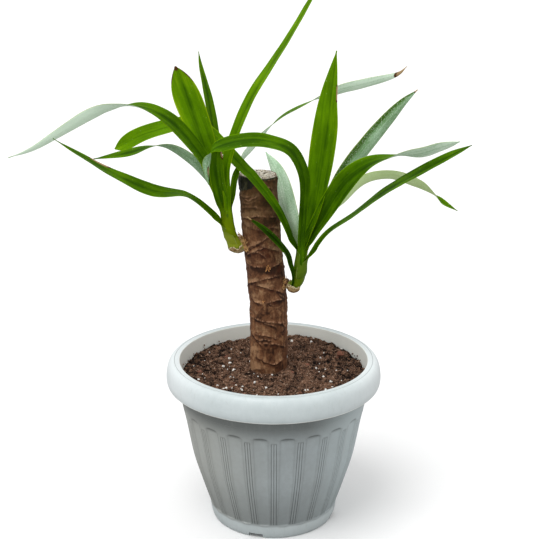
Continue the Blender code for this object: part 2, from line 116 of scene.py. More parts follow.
INSIDE_FLOOR = [(0.0, 2.4), (44.0, 2.4), (46.5, 8.0)]
INSIDE_WALL = [(66, 8), (71.0, 12), (83.9, 55), (96.9, 105), (106.3, 154), (109, 192)]
LIP = [(109.3, 196.2), (109.7, 196.8), (110.5, 197.0), (114.9, 197.0), (115.1, 196.6),
       (115.6, 196.6), (115.8, 197.0)]
RIM_ROLL = [(116.6, 196.9), (119.2, 195.6), (122.0, 192.0), (123.9, 186.5), (125.0, 178.0),
            (124.6, 172.6), (123.7, 169.8)]
RIM_INSIDE = [(123.2, 169.4), (121.9, 169.4), (121.5, 170.0), (121.4, 185.0), (119.0, 190.0),
              (114.0, 192.0), (111.8, 191.0), (111.0, 168.0), (110.4, 155.5), (109.3, 154.7)]
OUTSIDE_WALL = [(109.0, 153.0), (106.9, 142.0), (103.2, 125.0), (99.7, 105.0), (94.9, 80.0),
                (87.7, 55.0), (79.3, 28.0), (76.4, 19.0), (75.2, 10.0)]
FOOT = [(74.3, 5.6), (73.2, 2.0), (72.2, 0.4), (71.2, 0.0), (66.5, 0.0), (65.0, 5.5), (47.0, 5.5),
        (45.0, 0.0), (0.0, 0.0)]
WALL_HEIGHTS = [153, 150, 147, 144.5, 142.8, 142, 141.2, 140, 138.5, 137.2, 136.6, 136, 134.5]
WALL_HEIGHTS += list(range(130, 24, -6))
WALL_HEIGHTS += [23, 21.5, 20.4, 19.6, 19, 18.6, 17.8, 16.6, 15, 12, 10]


def smooth_route(points, step):
    """Catmull-Rom curve through rows of numbers, a point every step along it."""
    rows = [Vector(point) for point in points]
    knots = [rows[0] * 2 - rows[1], *rows, rows[-1] * 2 - rows[-2]]
    route = []
    for a, b, c, d in zip(knots, knots[1:], knots[2:], knots[3:]):
        count = max(1, round((c - b).length / step))
        for part in range(count):
            t = part / count
            bend = a * -1 + b * 3 - c * 3 + d
            slope = a * 2 - b * 5 + c * 4 - d
            route.append((b * 2 + (c - a) * t + slope * t * t + bend * t ** 3) * 0.5)
    route.append(rows[-1])
    return route


def value_at(line, place):
    """Value at a place on a line of (value, place) points, such as a radius at a height."""
    for low, high in zip(line, line[1:]):
        if min(low[1], high[1]) <= place <= max(low[1], high[1]) and low[1] != high[1]:
            return low[0] + (high[0] - low[0]) * (place - low[1]) / (high[1] - low[1])
    return line[0][0] if abs(place - line[0][1]) < abs(place - line[-1][1]) else line[-1][0]


def clamp(value):
    return max(0.0, min(1.0, value))


def bell(offset):
    """1 at no offset, and down to nothing on both sides of it."""
    return math.exp(-offset ** 2)


def to_mesh(bm, name):
    """Turns a bmesh into a mesh and frees it."""
    mesh = bpy.data.meshes.new(name)
    bm.to_mesh(mesh)
    bm.free()
    return mesh


def put_piece(name, bm, *materials, sharp=35.0):
    """Makes the mesh an object in metres, smooth but for edges sharper than the angle."""
    bmesh.ops.scale(bm, verts=bm.verts, vec=(MM, MM, MM))
    mesh = to_mesh(bm, name)
    mesh.shade_smooth()
    mesh.set_sharp_from_angle(angle=math.radians(sharp))
    for material in materials:
        mesh.materials.append(material)
    piece = bpy.data.objects.new(name, mesh)
    bpy.context.scene.collection.objects.link(piece)
    return piece


def cut_away(piece, cutters):
    """Cuts the cutters, which are bmeshes in millimetres, out of the piece."""
    group = bpy.data.collections.new("cutters")
    for cutter in cutters:
        bmesh.ops.scale(cutter, verts=cutter.verts, vec=(MM, MM, MM))
        group.objects.link(bpy.data.objects.new("cutter", to_mesh(cutter, "cutter")))
    cut = piece.modifiers.new("Cut", "BOOLEAN")
    cut.operation = "DIFFERENCE"
    cut.operand_type = "COLLECTION"
    cut.collection = group
    cut.solver = "MANIFOLD"
    graph = bpy.context.evaluated_depsgraph_get()
    baked = bpy.data.meshes.new_from_object(piece.evaluated_get(graph))
    piece.modifiers.clear()
    piece.data = baked
    for cutter in list(group.objects):
        bpy.data.objects.remove(cutter)
    bpy.data.collections.remove(group)


def wall_dust_and_shade(height):
    """How far the pot takes its darker wall colour at a height, which is dust and painted shade:
    the foot hardly does and the wall does.
    """
    return 0.15 + 0.75 * clamp((height - FOOT_HEIGHT) / 4.0)


def flute_wall(vert, column, columns, dust_and_shade, hollow_shade):
    """Moves a vertex of the outer wall to its column, presses in the flutes and grooves, and
    marks how far the wall takes its darker colour, which is dust and painted shade, and where
    painted shade lies in the grooves, under the flutes' tops and along their edges."""
    radius, height = vert.co.xy.length, vert.co.z
    mirror = column > columns // 2
    index = columns - column if mirror else column
    vert[dust_and_shade] = wall_dust_and_shade(height)
    if index < len(GROOVES):
        across, depth = GROOVES[index]
        end = clamp(min(GROOVE_TOP - height, height - GROOVE_BOTTOM) / GROOVE_END + 0.01)
        pressed = depth * end
        # Painted shade in the groove, darker where it is deeper, and under its top end.
        cap = bell((height - GROOVE_TOP - 0.3) / 0.7) if across < STRIP_EDGE else 0.0
        vert[hollow_shade] = clamp((1.4 - height / 300.0) * pressed + 0.5 * cap)
    else:
        share = FLUTE_SHARES[index - len(GROOVES)]
        half_pitch = FLUTE_PITCH / 2 * radius
        edge = 4.2 + 2.6 * clamp((radius - 77.0) / 30.0)
        across = half_pitch + (edge - half_pitch) * share
        end = clamp(min(FLUTE_TOP - height, height - FLUTE_BOTTOM) / FLUTE_END + 0.01)
        pressed = FLUTE_DEPTH * (1.0 - share ** 3) * end
        # Painted shade under the flute's arched top and along its edges.
        arch_line = 1.9 * (1.0 - share ** 2) * bell((height - FLUTE_TOP + 0.6) / 1.2)
        side_line = 0.25 * end * bell((1.0 - share) / 0.12)
        vert[hollow_shade] = clamp(arch_line + side_line)
        to_top = clamp(1.0 - abs(height - FLUTE_TOP) / 4.0)
        to_bottom = clamp(1.0 - abs(height - FLUTE_BOTTOM) / 4.0)
        height += FLUTE_ARCH * (to_top - to_bottom) * (1.0 - share ** 2)
    angle = across / radius
    if mirror:
        angle = FLUTE_PITCH - angle
    turn = angle - math.pi / 2
    radius -= pressed
    vert.co = Vector((radius * math.cos(turn), radius * math.sin(turn), height))


outer_curve = smooth_route(OUTSIDE_WALL, 3.0)
inner_curve = [tuple(point) for point in smooth_route(INSIDE_WALL, 12.0)]
rim_curve = [tuple(point) for point in smooth_route(RIM_ROLL, 1.7)]
pot_profile = [*INSIDE_FLOOR, *inner_curve, *LIP, *rim_curve]
rim_end = len(pot_profile)
pot_profile += RIM_INSIDE
wall_start = len(pot_profile)
pot_profile += [(value_at(outer_curve, z), z) for z in WALL_HEIGHTS]
wall_end = len(pot_profile)
pot_profile += FOOT

bm = bmesh.new()
on_wall = bm.verts.layers.int.new("on_wall")
pale_inside_and_lit_rim_edge = bm.verts.layers.float.new("pale_inside_and_lit_rim_edge")
dust_and_shade = bm.verts.layers.float.new("dust_and_shade")
hollow_shade = bm.verts.layers.float.new("hollow_shade")
line = [bm.verts.new((radius, 0.0, height)) for radius, height in pot_profile]
for vert in line[wall_start:wall_end]:
    vert[on_wall] = 1
for vert in line[:rim_end]:
    # The rim's bottom edge takes the inside's pale colour as a painted highlight.
    rim_edge = vert.co.x > RIM_EDGE_RADIUS and vert.co.z < RIM_BOTTOM + 2.0
    vert[pale_inside_and_lit_rim_edge] = 1.0 if rim_edge else clamp((INSIDE_RADIUS - vert.co.x) / 0.5)
edges = [bm.edges.new(pair) for pair in zip(line, line[1:])]
flute_columns = 2 * (len(GROOVES) + len(FLUTE_SHARES)) - 2
bmesh.ops.spin(bm, geom=line + edges, cent=(0, 0, 0), axis=(0, 0, 1), angle=FLUTE_PITCH,
               steps=flute_columns, use_merge=False)
for vert in bm.verts:
    height, radius = vert.co.z, vert.co.xy.length
    if radius > 1.0:
        column = round(math.atan2(vert.co.y, vert.co.x) / FLUTE_PITCH * flute_columns)
        flute_wall(vert, column, flute_columns, dust_and_shade, hollow_shade)
        if not vert[on_wall]:
            vert.co = Vector((*(vert.co.xy.normalized() * radius), height))
            # Painted shade in the fine groove round the lip.
            in_line = LIP_LINE[0] < radius < LIP_LINE[1] and height > LIP_HEIGHT
            vert[hollow_shade] = 0.55 if in_line else 0.0
            vert[dust_and_shade] = 0.0 if height > RIM_BOTTOM else wall_dust_and_shade(height)
bmesh.ops.spin(bm, geom=bm.verts[:] + bm.edges[:] + bm.faces[:], cent=(0, 0, 0), axis=(0, 0, 1),
               angle=math.tau - FLUTE_PITCH, steps=FLUTES - 1, use_duplicate=True)
bmesh.ops.remove_doubles(bm, verts=bm.verts, dist=0.01)
bmesh.ops.recalc_face_normals(bm, faces=bm.faces)
bm.verts.layers.int.remove(bm.verts.layers.int["on_wall"])

cutters = []
for k in range(FOOT_NOTCHES):
    block = bmesh.new()
    bmesh.ops.create_cube(block, size=1.0)
    bmesh.ops.scale(block, verts=block.verts, vec=FOOT_NOTCH)
    bmesh.ops.translate(block, verts=block.verts, vec=(FOOT_NOTCH_RADIUS, 0, 0))
    turn = Matrix.Rotation(FOOT_NOTCH_TURN + k * math.tau / FOOT_NOTCHES, 3, "Z")
    bmesh.ops.rotate(block, verts=block.verts, cent=(0, 0, 0), matrix=turn)
    cutters.append(block)
for k in range(DRAIN_HOLES):
    drill = bmesh.new()
    bmesh.ops.create_cone(drill, cap_ends=True, segments=24, radius1=DRAIN_HOLE_RADIUS,
                          radius2=DRAIN_HOLE_RADIUS, depth=30)
    turn = (k + 0.5) * math.tau / DRAIN_HOLES
    at = (DRAIN_CIRCLE * math.cos(turn), DRAIN_CIRCLE * math.sin(turn), 0)
    bmesh.ops.translate(drill, verts=drill.verts, vec=at)
    cutters.append(drill)


def paint(red, green, blue):
    """A colour as it looks on a screen, 0 to 255, as the linear colour that shaders take."""
    return (*[(part / 255) ** 2.2 for part in (red, green, blue)], 1.0)


def join(tree, value, socket):
    """Links an output to a socket, or sets a plain value on it."""
    if isinstance(value, bpy.types.NodeSocket):
        tree.links.new(value, socket)
    else:
        socket.default_value = value


def add_node(tree, kind, sockets=None, **settings):
    node = tree.nodes.new("ShaderNode" + kind)
    for name, value in settings.items():
        setattr(node, name, value)
    for name, value in (sockets or {}).items():
        join(tree, value, node.inputs[name])
    return node


def sums(tree, operation, *values):
    node = add_node(tree, "Math", operation=operation)
    for value, socket in zip(values, node.inputs):
        join(tree, value, socket)
    return node.outputs[0]


def blend(tree, share, low, high):
    """The low colour where the share is 0, and the high one where it is 1."""
    node = add_node(tree, "Mix", data_type="RGBA")
    for value, socket in zip((share, low, high), (node.inputs[0], node.inputs[6], node.inputs[7])):
        join(tree, value, socket)
    return node.outputs[2]


def coat(tree, base, mask, amount, color):
    """Lays a colour over the base where the mask is 1, at most by the amount."""
    return blend(tree, sums(tree, "MULTIPLY", mask, amount), base, color)


def grade(tree, share, *stops):
    """A ramp through (position, colour) stops."""
    node = add_node(tree, "ValToRGB", {"Fac": share})
    ends = node.color_ramp.elements
    for end, (position, color) in zip(ends, (stops[0], stops[-1])):
        end.position, end.color = position, color
    for position, color in stops[1:-1]:
        ends.new(position).color = color
    return node.outputs["Color"]


def ease(tree, value, low, high):
    """0 below low, 1 above high and smooth between, or the other way round if low is higher."""
    node = add_node(tree, "MapRange", {"Value": value, "From Min": low, "From Max": high},
                    interpolation_type="SMOOTHSTEP")
    return node.outputs[0]


def cloud(tree, place, scale, detail=2.0, roughness=0.5):
    node = add_node(tree, "TexNoise", {"Vector": place, "Scale": scale, "Detail": detail,
                                       "Roughness": roughness})
    return node.outputs[0]


def stretched(tree, place, size):
    return add_node(tree, "Mapping", {"Vector": place, "Scale": size}).outputs[0]


def bump(tree, height, distance, strength, under=None):
    """A fine relief, on top of the one under it if there is one."""
    node = add_node(tree, "Bump", {"Height": height, "Distance": distance, "Strength": strength})
    if under is not None:
        join(tree, under, node.inputs["Normal"])
    return node.outputs[0]


def painted(tree, name):
    """A value that the mesh carries on its points."""
    return add_node(tree, "Attribute", attribute_name=name).outputs["Fac"]


def new_material(name):
    material = bpy.data.materials.new(name)
    material.use_nodes = True
    return material, material.node_tree, material.node_tree.nodes["Principled BSDF"]


def set_surface(tree, shader, base, rough, specular, normal):
    join(tree, base, shader.inputs["Base Color"])
    join(tree, rough, shader.inputs["Roughness"])
    shader.inputs["Specular IOR Level"].default_value = specular
    join(tree, normal, shader.inputs["Normal"])


def make_mottle():
    """Blotches between two tones with a finer grain over them, for plastic, bark and wood."""
    group = bpy.data.node_groups.new("mottle", "ShaderNodeTree")
    sockets = (("Place", "NodeSocketVector"), ("Blotches", "NodeSocketFloat"),
               ("Grain", "NodeSocketFloat"), ("Low", "NodeSocketColor"),
               ("High", "NodeSocketColor"))
    for name, kind in sockets:
        group.interface.new_socket(name, in_out="INPUT", socket_type=kind)
    group.interface.new_socket("Color", in_out="OUTPUT", socket_type="NodeSocketColor")
    group.interface.new_socket("Share", in_out="OUTPUT", socket_type="NodeSocketFloat")
    given = group.nodes.new("NodeGroupInput").outputs
    out = group.nodes.new("NodeGroupOutput").inputs
    broad = cloud(group, given["Place"], given["Blotches"], 3.0)
    fine = cloud(group, given["Place"], given["Grain"], 4.0, 0.65)
    share = sums(group, "MULTIPLY_ADD", fine, 0.5, sums(group, "MULTIPLY", broad, 0.5))
    share = ease(group, share, 0.3, 0.7)
    join(group, share, out["Share"])
    join(group, blend(group, share, given["Low"], given["High"]), out["Color"])
    return group


MOTTLE = make_mottle()


def mottle(tree, place, blotches, grain, low, high):
    node = add_node(tree, "Group")
    node.node_tree = MOTTLE
    for value, name in zip((place, blotches, grain, low, high),
                           ("Place", "Blotches", "Grain", "Low", "High")):
        join(tree, value, node.inputs[name])
    return node.outputs["Color"], node.outputs["Share"]


def make_plastic():
    """Off-white plastic. Its colour holds some of the photograph's light and shade: the wall is
    darker under the rim and by the foot, warmer at the left and paler at the right, and the rest
    is paler at both sides. It is fixed to the pot and stays in any other light."""
    material, tree, shader = new_material("pot_plastic")
    place = add_node(tree, "TexCoord").outputs["Object"]
    at = add_node(tree, "SeparateXYZ", {"Vector": place}).outputs
    wall = mottle(tree, place, 22.0, 160.0, paint(156, 163, 164), paint(170, 179, 181))[0]
    wall = coat(tree, wall, ease(tree, at["X"], 0.02, -0.1), 0.6, paint(180, 178, 166))
    under_rim = sums(tree, "MULTIPLY", ease(tree, at["Z"], 0.132, 0.16), 0.85)
    by_foot = sums(tree, "MULTIPLY", ease(tree, at["Z"], 0.09, 0.02), 0.4)
    wall = blend(tree, sums(tree, "ADD", under_rim, by_foot), wall, paint(82, 85, 82))
    wall = coat(tree, wall, ease(tree, at["X"], 0.03, 0.11), 0.8, paint(198, 212, 214))
    base, share = mottle(tree, place, 14.0, 120.0, paint(199, 209, 210), paint(210, 219, 220))
    sides = ease(tree, sums(tree, "ABSOLUTE", at["X"]), 0.06, 0.13)
    base = coat(tree, base, sides, 0.7, paint(238, 244, 245))
    # The wall's darker colour is dust and painted shade; the rim and foot keep the paler one.
    base = blend(tree, painted(tree, "dust_and_shade"), base, wall)
    scuffs = cloud(tree, stretched(tree, place, (60, 60, 9)), 6.0, 3.0)
    base = coat(tree, base, ease(tree, scuffs, 0.55, 0.75), 0.12, paint(160, 162, 156))
    # Painted shade in the grooves, under the flutes' tops, along their edges and round the lip.
    base = coat(tree, base, painted(tree, "hollow_shade"), 0.7, paint(62, 64, 60))
    # The inside is paler, partly as painted light, and so is the rim's bottom edge, a painted
    # highlight.
    pale_inside_and_lit_rim_edge = painted(tree, "pale_inside_and_lit_rim_edge")
    base = blend(tree, pale_inside_and_lit_rim_edge, base, paint(248, 251, 244))
    splashes = sums(tree, "MULTIPLY", cloud(tree, place, 90.0, 5.0, 0.7),
                    ease(tree, at["Z"], 0.192, 0.178))
    base = coat(tree, base, ease(tree, splashes, 0.46, 0.6),
                sums(tree, "MULTIPLY", pale_inside_and_lit_rim_edge, 0.3), paint(132, 112, 94))
    normal = bump(tree, cloud(tree, place, 900.0, 2.0), 0.00012, 0.35)
    normal = bump(tree, cloud(tree, place, 30.0, 2.0), 0.0006, 0.25, normal)
    set_surface(tree, shader, base, sums(tree, "MULTIPLY_ADD", share, 0.14, 0.36), 0.45, normal)
    return material


pot = put_piece("pot_shell", bm, make_plastic(), sharp=28.0)
cut_away(pot, cutters)
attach(pot, "root")
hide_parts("pot")

# The potting mix: dark peat with reddish bark, filled to 2 cm under the rim. Its top is one
# crumbly skin, heaped a little behind the cane, over a plug that fills the pot.
SOIL_LEVEL = 178.0
SOIL_SLOPE = 0.02
SOIL_GAP = 0.3
SOIL_GRID = 230
CANE_BASE = Vector((-5.5, 14.0))
CANE_HOLE_RADIUS = 21.7
CANE_BOTTOM = 92.0
# Mounds, and hollows with less than nothing: height, x, y and the square of the spread.
SOIL_SWELLS = [(5.5, 30, 76, 2000), (2.0, -60, 74, 900), (2.5, -5.5, 8, 1100),
               (-3.5, -66, 22, 2200), (-2.0, 92, -5, 700)]
# The plug's side: heights on the pot's wall, then radius and height where it meets the floor.
PLUG_HEIGHTS = [165.0, 105.0, 55.0, 12.5, 8.3]
PLUG_FOOT = [(47.0, 8.3), (43.4, 2.7)]


def soil_height(x, y):
    """Height of the soil at a place: swells, lumps as in the solid, and crumbs on them."""
    height = SOIL_LEVEL + SOIL_SLOPE * y
    for rise, middle_x, middle_y, spread in SOIL_SWELLS:
        height += rise * math.exp(-((x - middle_x) ** 2 + (y - middle_y) ** 2) / spread)
    height -= 4.0 * clamp((math.hypot(x, y) - 80.0) / 28.0) ** 2 * clamp(0.6 - y / 70.0)
    height += noise.noise(Vector((x, y, 0.0)) / 17.0) * 1.9
    return height + noise.noise(Vector((x, y, 40.0)) / 6.5) * 1.4


def soil_crumb(x, y):
    """How far the fine crumbs stand out of the skin, in millimetres."""
    at = Vector((x, y, 0.0))
    clods = 0.5 - noise.voronoi(at / 8.0 + Vector((3, 8, 0)))[0][0]
    pebbles = 0.55 - noise.voronoi(at / 2.6)[0][0]
    grains = 0.5 - noise.voronoi(at / 1.5 + Vector((9, 4, 0)))[0][0]
    return 3.0 * clods + 1.5 * pebbles + 1.0 * grains + 1.2 * noise.noise(at / 4.0)


soil_radius = value_at(inner_curve, SOIL_LEVEL) - SOIL_GAP
bm = bmesh.new()
soil_shade = bm.verts.layers.float.new("soil_shade")
bmesh.ops.create_grid(bm, x_segments=SOIL_GRID, y_segments=SOIL_GRID, size=1.0)
for vert in bm.verts:
    x, y = vert.co.xy
    vert.co.x = x * math.sqrt(1.0 - y * y / 2.0) * soil_radius
    vert.co.y = y * math.sqrt(1.0 - x * x / 2.0) * soil_radius
near_cane = [v for v in bm.verts if (v.co.xy - CANE_BASE).length < CANE_HOLE_RADIUS]
bmesh.ops.delete(bm, geom=near_cane, context="VERTS")
hole = {v for v in bm.verts
        if v.is_boundary and (v.co.xy - CANE_BASE).length < CANE_HOLE_RADIUS + 10.0}
for vert in hole:
    outward = (vert.co.xy - CANE_BASE).normalized()
    vert.co.xy = CANE_BASE + outward * CANE_HOLE_RADIUS
for vert in bm.verts:
    x, y = vert.co.xy
    crumb = soil_crumb(x, y)
    # Lower crumbs and the soil by the left and right walls are darker: painted shade.
    vert[soil_shade] = crumb - 0.9 * clamp((abs(x) - 40.0) / 50.0)
    vert.co.z = soil_height(x, y) + crumb
hole_edges = [e for e in bm.edges if e.is_boundary and e.verts[0] in hole]
rim_edges = [e for e in bm.edges if e.is_boundary and e.verts[0] not in hole]


def drop_edge(bm, edges, height, radius=None):
    """Extrudes an open edge loop down to a height, and to a circle if it is given a radius."""
    made = bmesh.ops.extrude_edge_only(bm, edges=edges)["geom"]
    for vert in [g for g in made if isinstance(g, bmesh.types.BMVert)]:
        if radius is not None:
            vert.co.xy = vert.co.xy.normalized() * radius
        vert.co.z = height
    return [g for g in made if isinstance(g, bmesh.types.BMEdge) and g.is_boundary]


plug_side = [(value_at(inner_curve, height) - SOIL_GAP, height) for height in PLUG_HEIGHTS]
for radius, height in plug_side + PLUG_FOOT:
    rim_edges = drop_edge(bm, rim_edges, height, radius)
bmesh.ops.edgeloop_fill(bm, edges=rim_edges)
hole_edges = drop_edge(bm, hole_edges, CANE_BOTTOM - SOIL_GAP)
bmesh.ops.edgeloop_fill(bm, edges=hole_edges)
bmesh.ops.recalc_face_normals(bm, faces=bm.faces)


def make_peat():
    material, tree, shader = new_material("potting_soil")
    place = add_node(tree, "TexCoord").outputs["Object"]
    base = mottle(tree, place, 70.0, 600.0, paint(60, 42, 33), paint(126, 95, 76))[0]
    reddish = ease(tree, cloud(tree, place, 380.0, 3.0, 0.6), 0.53, 0.62)
    base = coat(tree, base, reddish, 0.8, paint(152, 116, 94))
    pale = ease(tree, cloud(tree, place, 560.0, 2.0, 0.6), 0.6, 0.67)
    base = coat(tree, base, pale, 0.85, paint(206, 176, 152))
    damp = ease(tree, cloud(tree, place, 300.0, 3.0, 0.6), 0.48, 0.38)
    base = coat(tree, base, damp, 0.8, paint(44, 30, 23))
    # Painted shade in the hollows between crumbs and by the left and right walls.
    base = blend(tree, ease(tree, painted(tree, "soil_shade"), 0.3, -1.4), base, paint(28, 19, 14))
    crumb = cloud(tree, place, 1100.0, 4.0, 0.7)
    set_surface(tree, shader, base, 0.92, 0.15, bump(tree, crumb, 0.0009, 0.9))
    return material


PEAT = make_peat()
soil = put_piece("soil_bed", bm, PEAT, sharp=80.0)
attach(soil, "root")
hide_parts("soil")

# Loose things on the soil: crumbs of peat, torn fibres, chips of bark and white grains of
# perlite. They lie half sunk in the skin, and a few crumbs cling to the pot's wall.
SCATTER_RADIUS = 105.0
CRUMBS = 2300
WALL_CRUMBS = 26
WALL_CRUMB_TURNS = [188, 200, 172, 150, 30, 60, 120, 15]
FIBRES = 1300
CHIPS = 16
LARGEST_CHIP = Vector((81.0, 46.0))
PERLITE_GRAINS = 190
# Perlite lies thick between these in x and y, and elsewhere this share of it is left out.
PERLITE_X = (-75.0, -12.0)
PERLITE_Y = (-75.0, -22.0)
PERLITE_LEFT_OUT = 0.65


def lump(seed, subdivisions, roughness):
    """A pebble of 1 mm radius, knocked out of round."""
    shape = bmesh.new()
    bmesh.ops.create_icosphere(shape, subdivisions=subdivisions, radius=1.0)
    for vert in shape.verts:
        vert.co *= 1.0 + roughness * noise.noise(vert.co * 1.4 + Vector((seed * 7.3, 0, 0)))
    return to_mesh(shape, "lump")


def tapered(shape, sides, radius, tip_radius, cuts):
    """Adds a thin cone 2 mm long, cut across so that it can be bent."""
    bmesh.ops.create_cone(shape, cap_ends=True, segments=sides, radius1=radius,
                          radius2=tip_radius, depth=2.0)
    long_edges = [e for e in shape.edges if abs(e.verts[0].co.z - e.verts[1].co.z) > 1.0]
    bmesh.ops.subdivide_edges(shape, edges=long_edges, cuts=cuts)


def fibre(seed):
    """A thin tapered thread, 2 mm long and 0.16 mm thick, bent two ways."""
    shape = bmesh.new()
    tapered(shape, 3, 0.08, 0.03, 4)
    draw = random.Random(seed)
    bend, twist = draw.uniform(0.15, 0.5), draw.uniform(-0.35, 0.35)
    for vert in shape.verts:
        along = vert.co.z
        vert.co.x += bend * (along * along - 0.5)
        vert.co.y += twist * along ** 3
    return to_mesh(shape, "fibre")


def soil_places(count, seed):
    """Random places on the soil, clear of the cane and the pot's wall."""
    draw = random.Random(seed)
    while count:
        at = Vector((draw.uniform(-1, 1), draw.uniform(-1, 1))) * SCATTER_RADIUS
        if at.length < SCATTER_RADIUS and (at - CANE_BASE).length > CANE_HOLE_RADIUS + 1.5:
            count -= 1
            yield at, draw


def lay(bm, template, at, turn, size):
    """Adds a copy of a small mesh, turned and sized, at a place."""
    copy = template.copy()
    copy.transform(Matrix.LocRotScale(at, turn, size))
    bm.from_mesh(copy)
    bpy.data.meshes.remove(copy)


def on_soil(at, lift):
    return Vector((at.x, at.y, soil_height(*at) + soil_crumb(*at) + lift))


def draw_size(draw, least, most, scale=1.0):
    return Vector([scale * draw.uniform(least, most) for _ in range(3)])


def tumbled(draw):
    """A turn by any angle about any axis."""
    angle = draw.uniform(0, math.tau)
    return Matrix.Rotation(angle, 3, draw_size(draw, -1, 1).normalized()).to_quaternion()


def turned(*angles, axes="ZXZ"):
    """Turns about each axis in its order."""
    turn = Matrix.Identity(3)
    for angle, axis in zip(angles, axes):
        turn = turn @ Matrix.Rotation(angle, 3, axis)
    return turn.to_quaternion()


lumps = [lump(seed, 1, 0.9) for seed in range(8)]
fine_lumps = [lump(seed, 2, 0.8) for seed in range(20, 26)]
threads = [fibre(seed) for seed in range(10)]

bm = bmesh.new()
for at, draw in soil_places(CRUMBS, seed=11):
    radius = 0.5 + 1.5 * draw.random() ** 3
    size = draw_size(draw, 0.6, 1.25, radius)
    lay(bm, draw.choice(lumps), on_soil(at, radius * 0.25), tumbled(draw), size)
for k in range(WALL_CRUMBS):
    draw = random.Random(100 + k)
    turn = math.radians(draw.choice(WALL_CRUMB_TURNS) + draw.uniform(-14, 14))
    height = soil_height(107.0 * math.cos(turn), 107.0 * math.sin(turn)) + 6.0 * draw.random() ** 2
    radius = value_at(inner_curve, height) - 0.7
    at = Vector((radius * math.cos(turn), radius * math.sin(turn), height))
    size = draw_size(draw, 0.5, 1.2)
    lay(bm, draw.choice(lumps), at, tumbled(draw), size)
crumbs = put_piece("soil_crumbs", bm, PEAT, sharp=60.0)
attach(crumbs, "root")


def make_matted(name, low, high, roughness, foot=None):
    """A dull loose stuff whose grains differ in tone, and whose foot may have its own colour."""
    material, tree, shader = new_material(name)
    place = add_node(tree, "TexCoord").outputs["Object"]
    base = mottle(tree, place, 120.0, 900.0, low, high)[0]
    if foot is not None:
        base = blend(tree, ease(tree, painted(tree, "tip"), 0.65, 0.15), base, foot)
    grain = bump(tree, cloud(tree, place, 1500.0, 3.0, 0.7), 0.0003, 0.6)
    set_surface(tree, shader, base, roughness, 0.25, grain)
    return material


bm = bmesh.new()
for at, draw in soil_places(FIBRES, seed=23):
    size = Vector((draw.uniform(1.4, 2.9),) * 3)
    size.z *= draw.uniform(0.8, 1.6)
    turn = turned(draw.uniform(0, math.tau), math.radians(draw.uniform(72, 106)),
                  draw.uniform(0, math.tau))
    lay(bm, draw.choice(threads), on_soil(at, 0.5), turn, size)
fibres = put_piece("soil_fibres", bm,
                   make_matted("peat_fibre", paint(92, 64, 50), paint(196, 158, 132), 0.9))
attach(fibres, "root")

bm = bmesh.new()
for at, draw in soil_places(CHIPS, seed=31):
    size = Vector((draw.uniform(2.0, 4.2), draw.uniform(1.4, 2.6), draw.uniform(0.6, 1.1)))
    turn = turned(draw.uniform(0, math.tau), draw.uniform(-0.5, 0.5))
    lay(bm, draw.choice(fine_lumps), on_soil(at, 0.3), turn, size)
lay(bm, fine_lumps[2], on_soil(LARGEST_CHIP, 1.2), turned(0.6, 0.5), Vector((5.6, 3.6, 2.0)))
chips = put_piece("bark_chips", bm,
                  make_matted("bark_chip", paint(88, 54, 42), paint(142, 96, 78), 0.85), sharp=50)
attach(chips, "root")

bm = bmesh.new()
for at, draw in soil_places(PERLITE_GRAINS, seed=47):
    thick = PERLITE_X[0] < at.x < PERLITE_X[1] and PERLITE_Y[0] < at.y < PERLITE_Y[1]
    if not thick and draw.random() < PERLITE_LEFT_OUT:
        continue
    radius = 0.6 + 1.1 * draw.random() ** 1.6
    size = draw_size(draw, 0.75, 1.3, radius)
    lay(bm, draw.choice(fine_lumps), on_soil(at, radius * 0.5), tumbled(draw), size)
perlite = put_piece("perlite", bm,
                    make_matted("perlite", paint(240, 236, 228), paint(255, 254, 250), 0.8),
                    sharp=50)
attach(perlite, "root")

# The cane: a stout stem with the bark left on, ringed by the scars of old leaves whose papery
# edges hang over them. It is sawn off level, and has a dab of dark grafting wax by the cut.
CANE_RADIUS = 22.0
CANE_BURIED_RADIUS = 21.4
CANE_TOP = 413.0
CANE_COLUMNS = 230
CANE_ROW = 0.75
CANE_ROUTE = [(-5.5, 14, 192), (-5.6, 14, 225), (-6.2, 14, 262), (-9, 14, 295), (-12.8, 14, 330),
              (-15.2, 14, 362), (-17, 14, 390), (-18, 14, CANE_TOP)]
# Height, sideways tilt and depthwise tilt of each ring scar.
CANE_SCARS = [(203, 3, 2), (214, -4, 2), (229, 3, -2), (241, -2, 3), (254, 4, 1), (268, -3, -2),
              (281, 2, 3), (296, -4, 1), (312, 3, -3), (327, -3, 2), (341, 5, 2), (357, -3, -2),
              (371, 3, 2), (384, -4, 1), (398, 2, -2)]
SCAR_RISE = 0.9
SCAR_REACH = 10.0
# The bark with its rings and folds starts at this height. How far a fold of 1 stands out.
BARK_FROM = 168.0
FOLD_RISE = 1.7
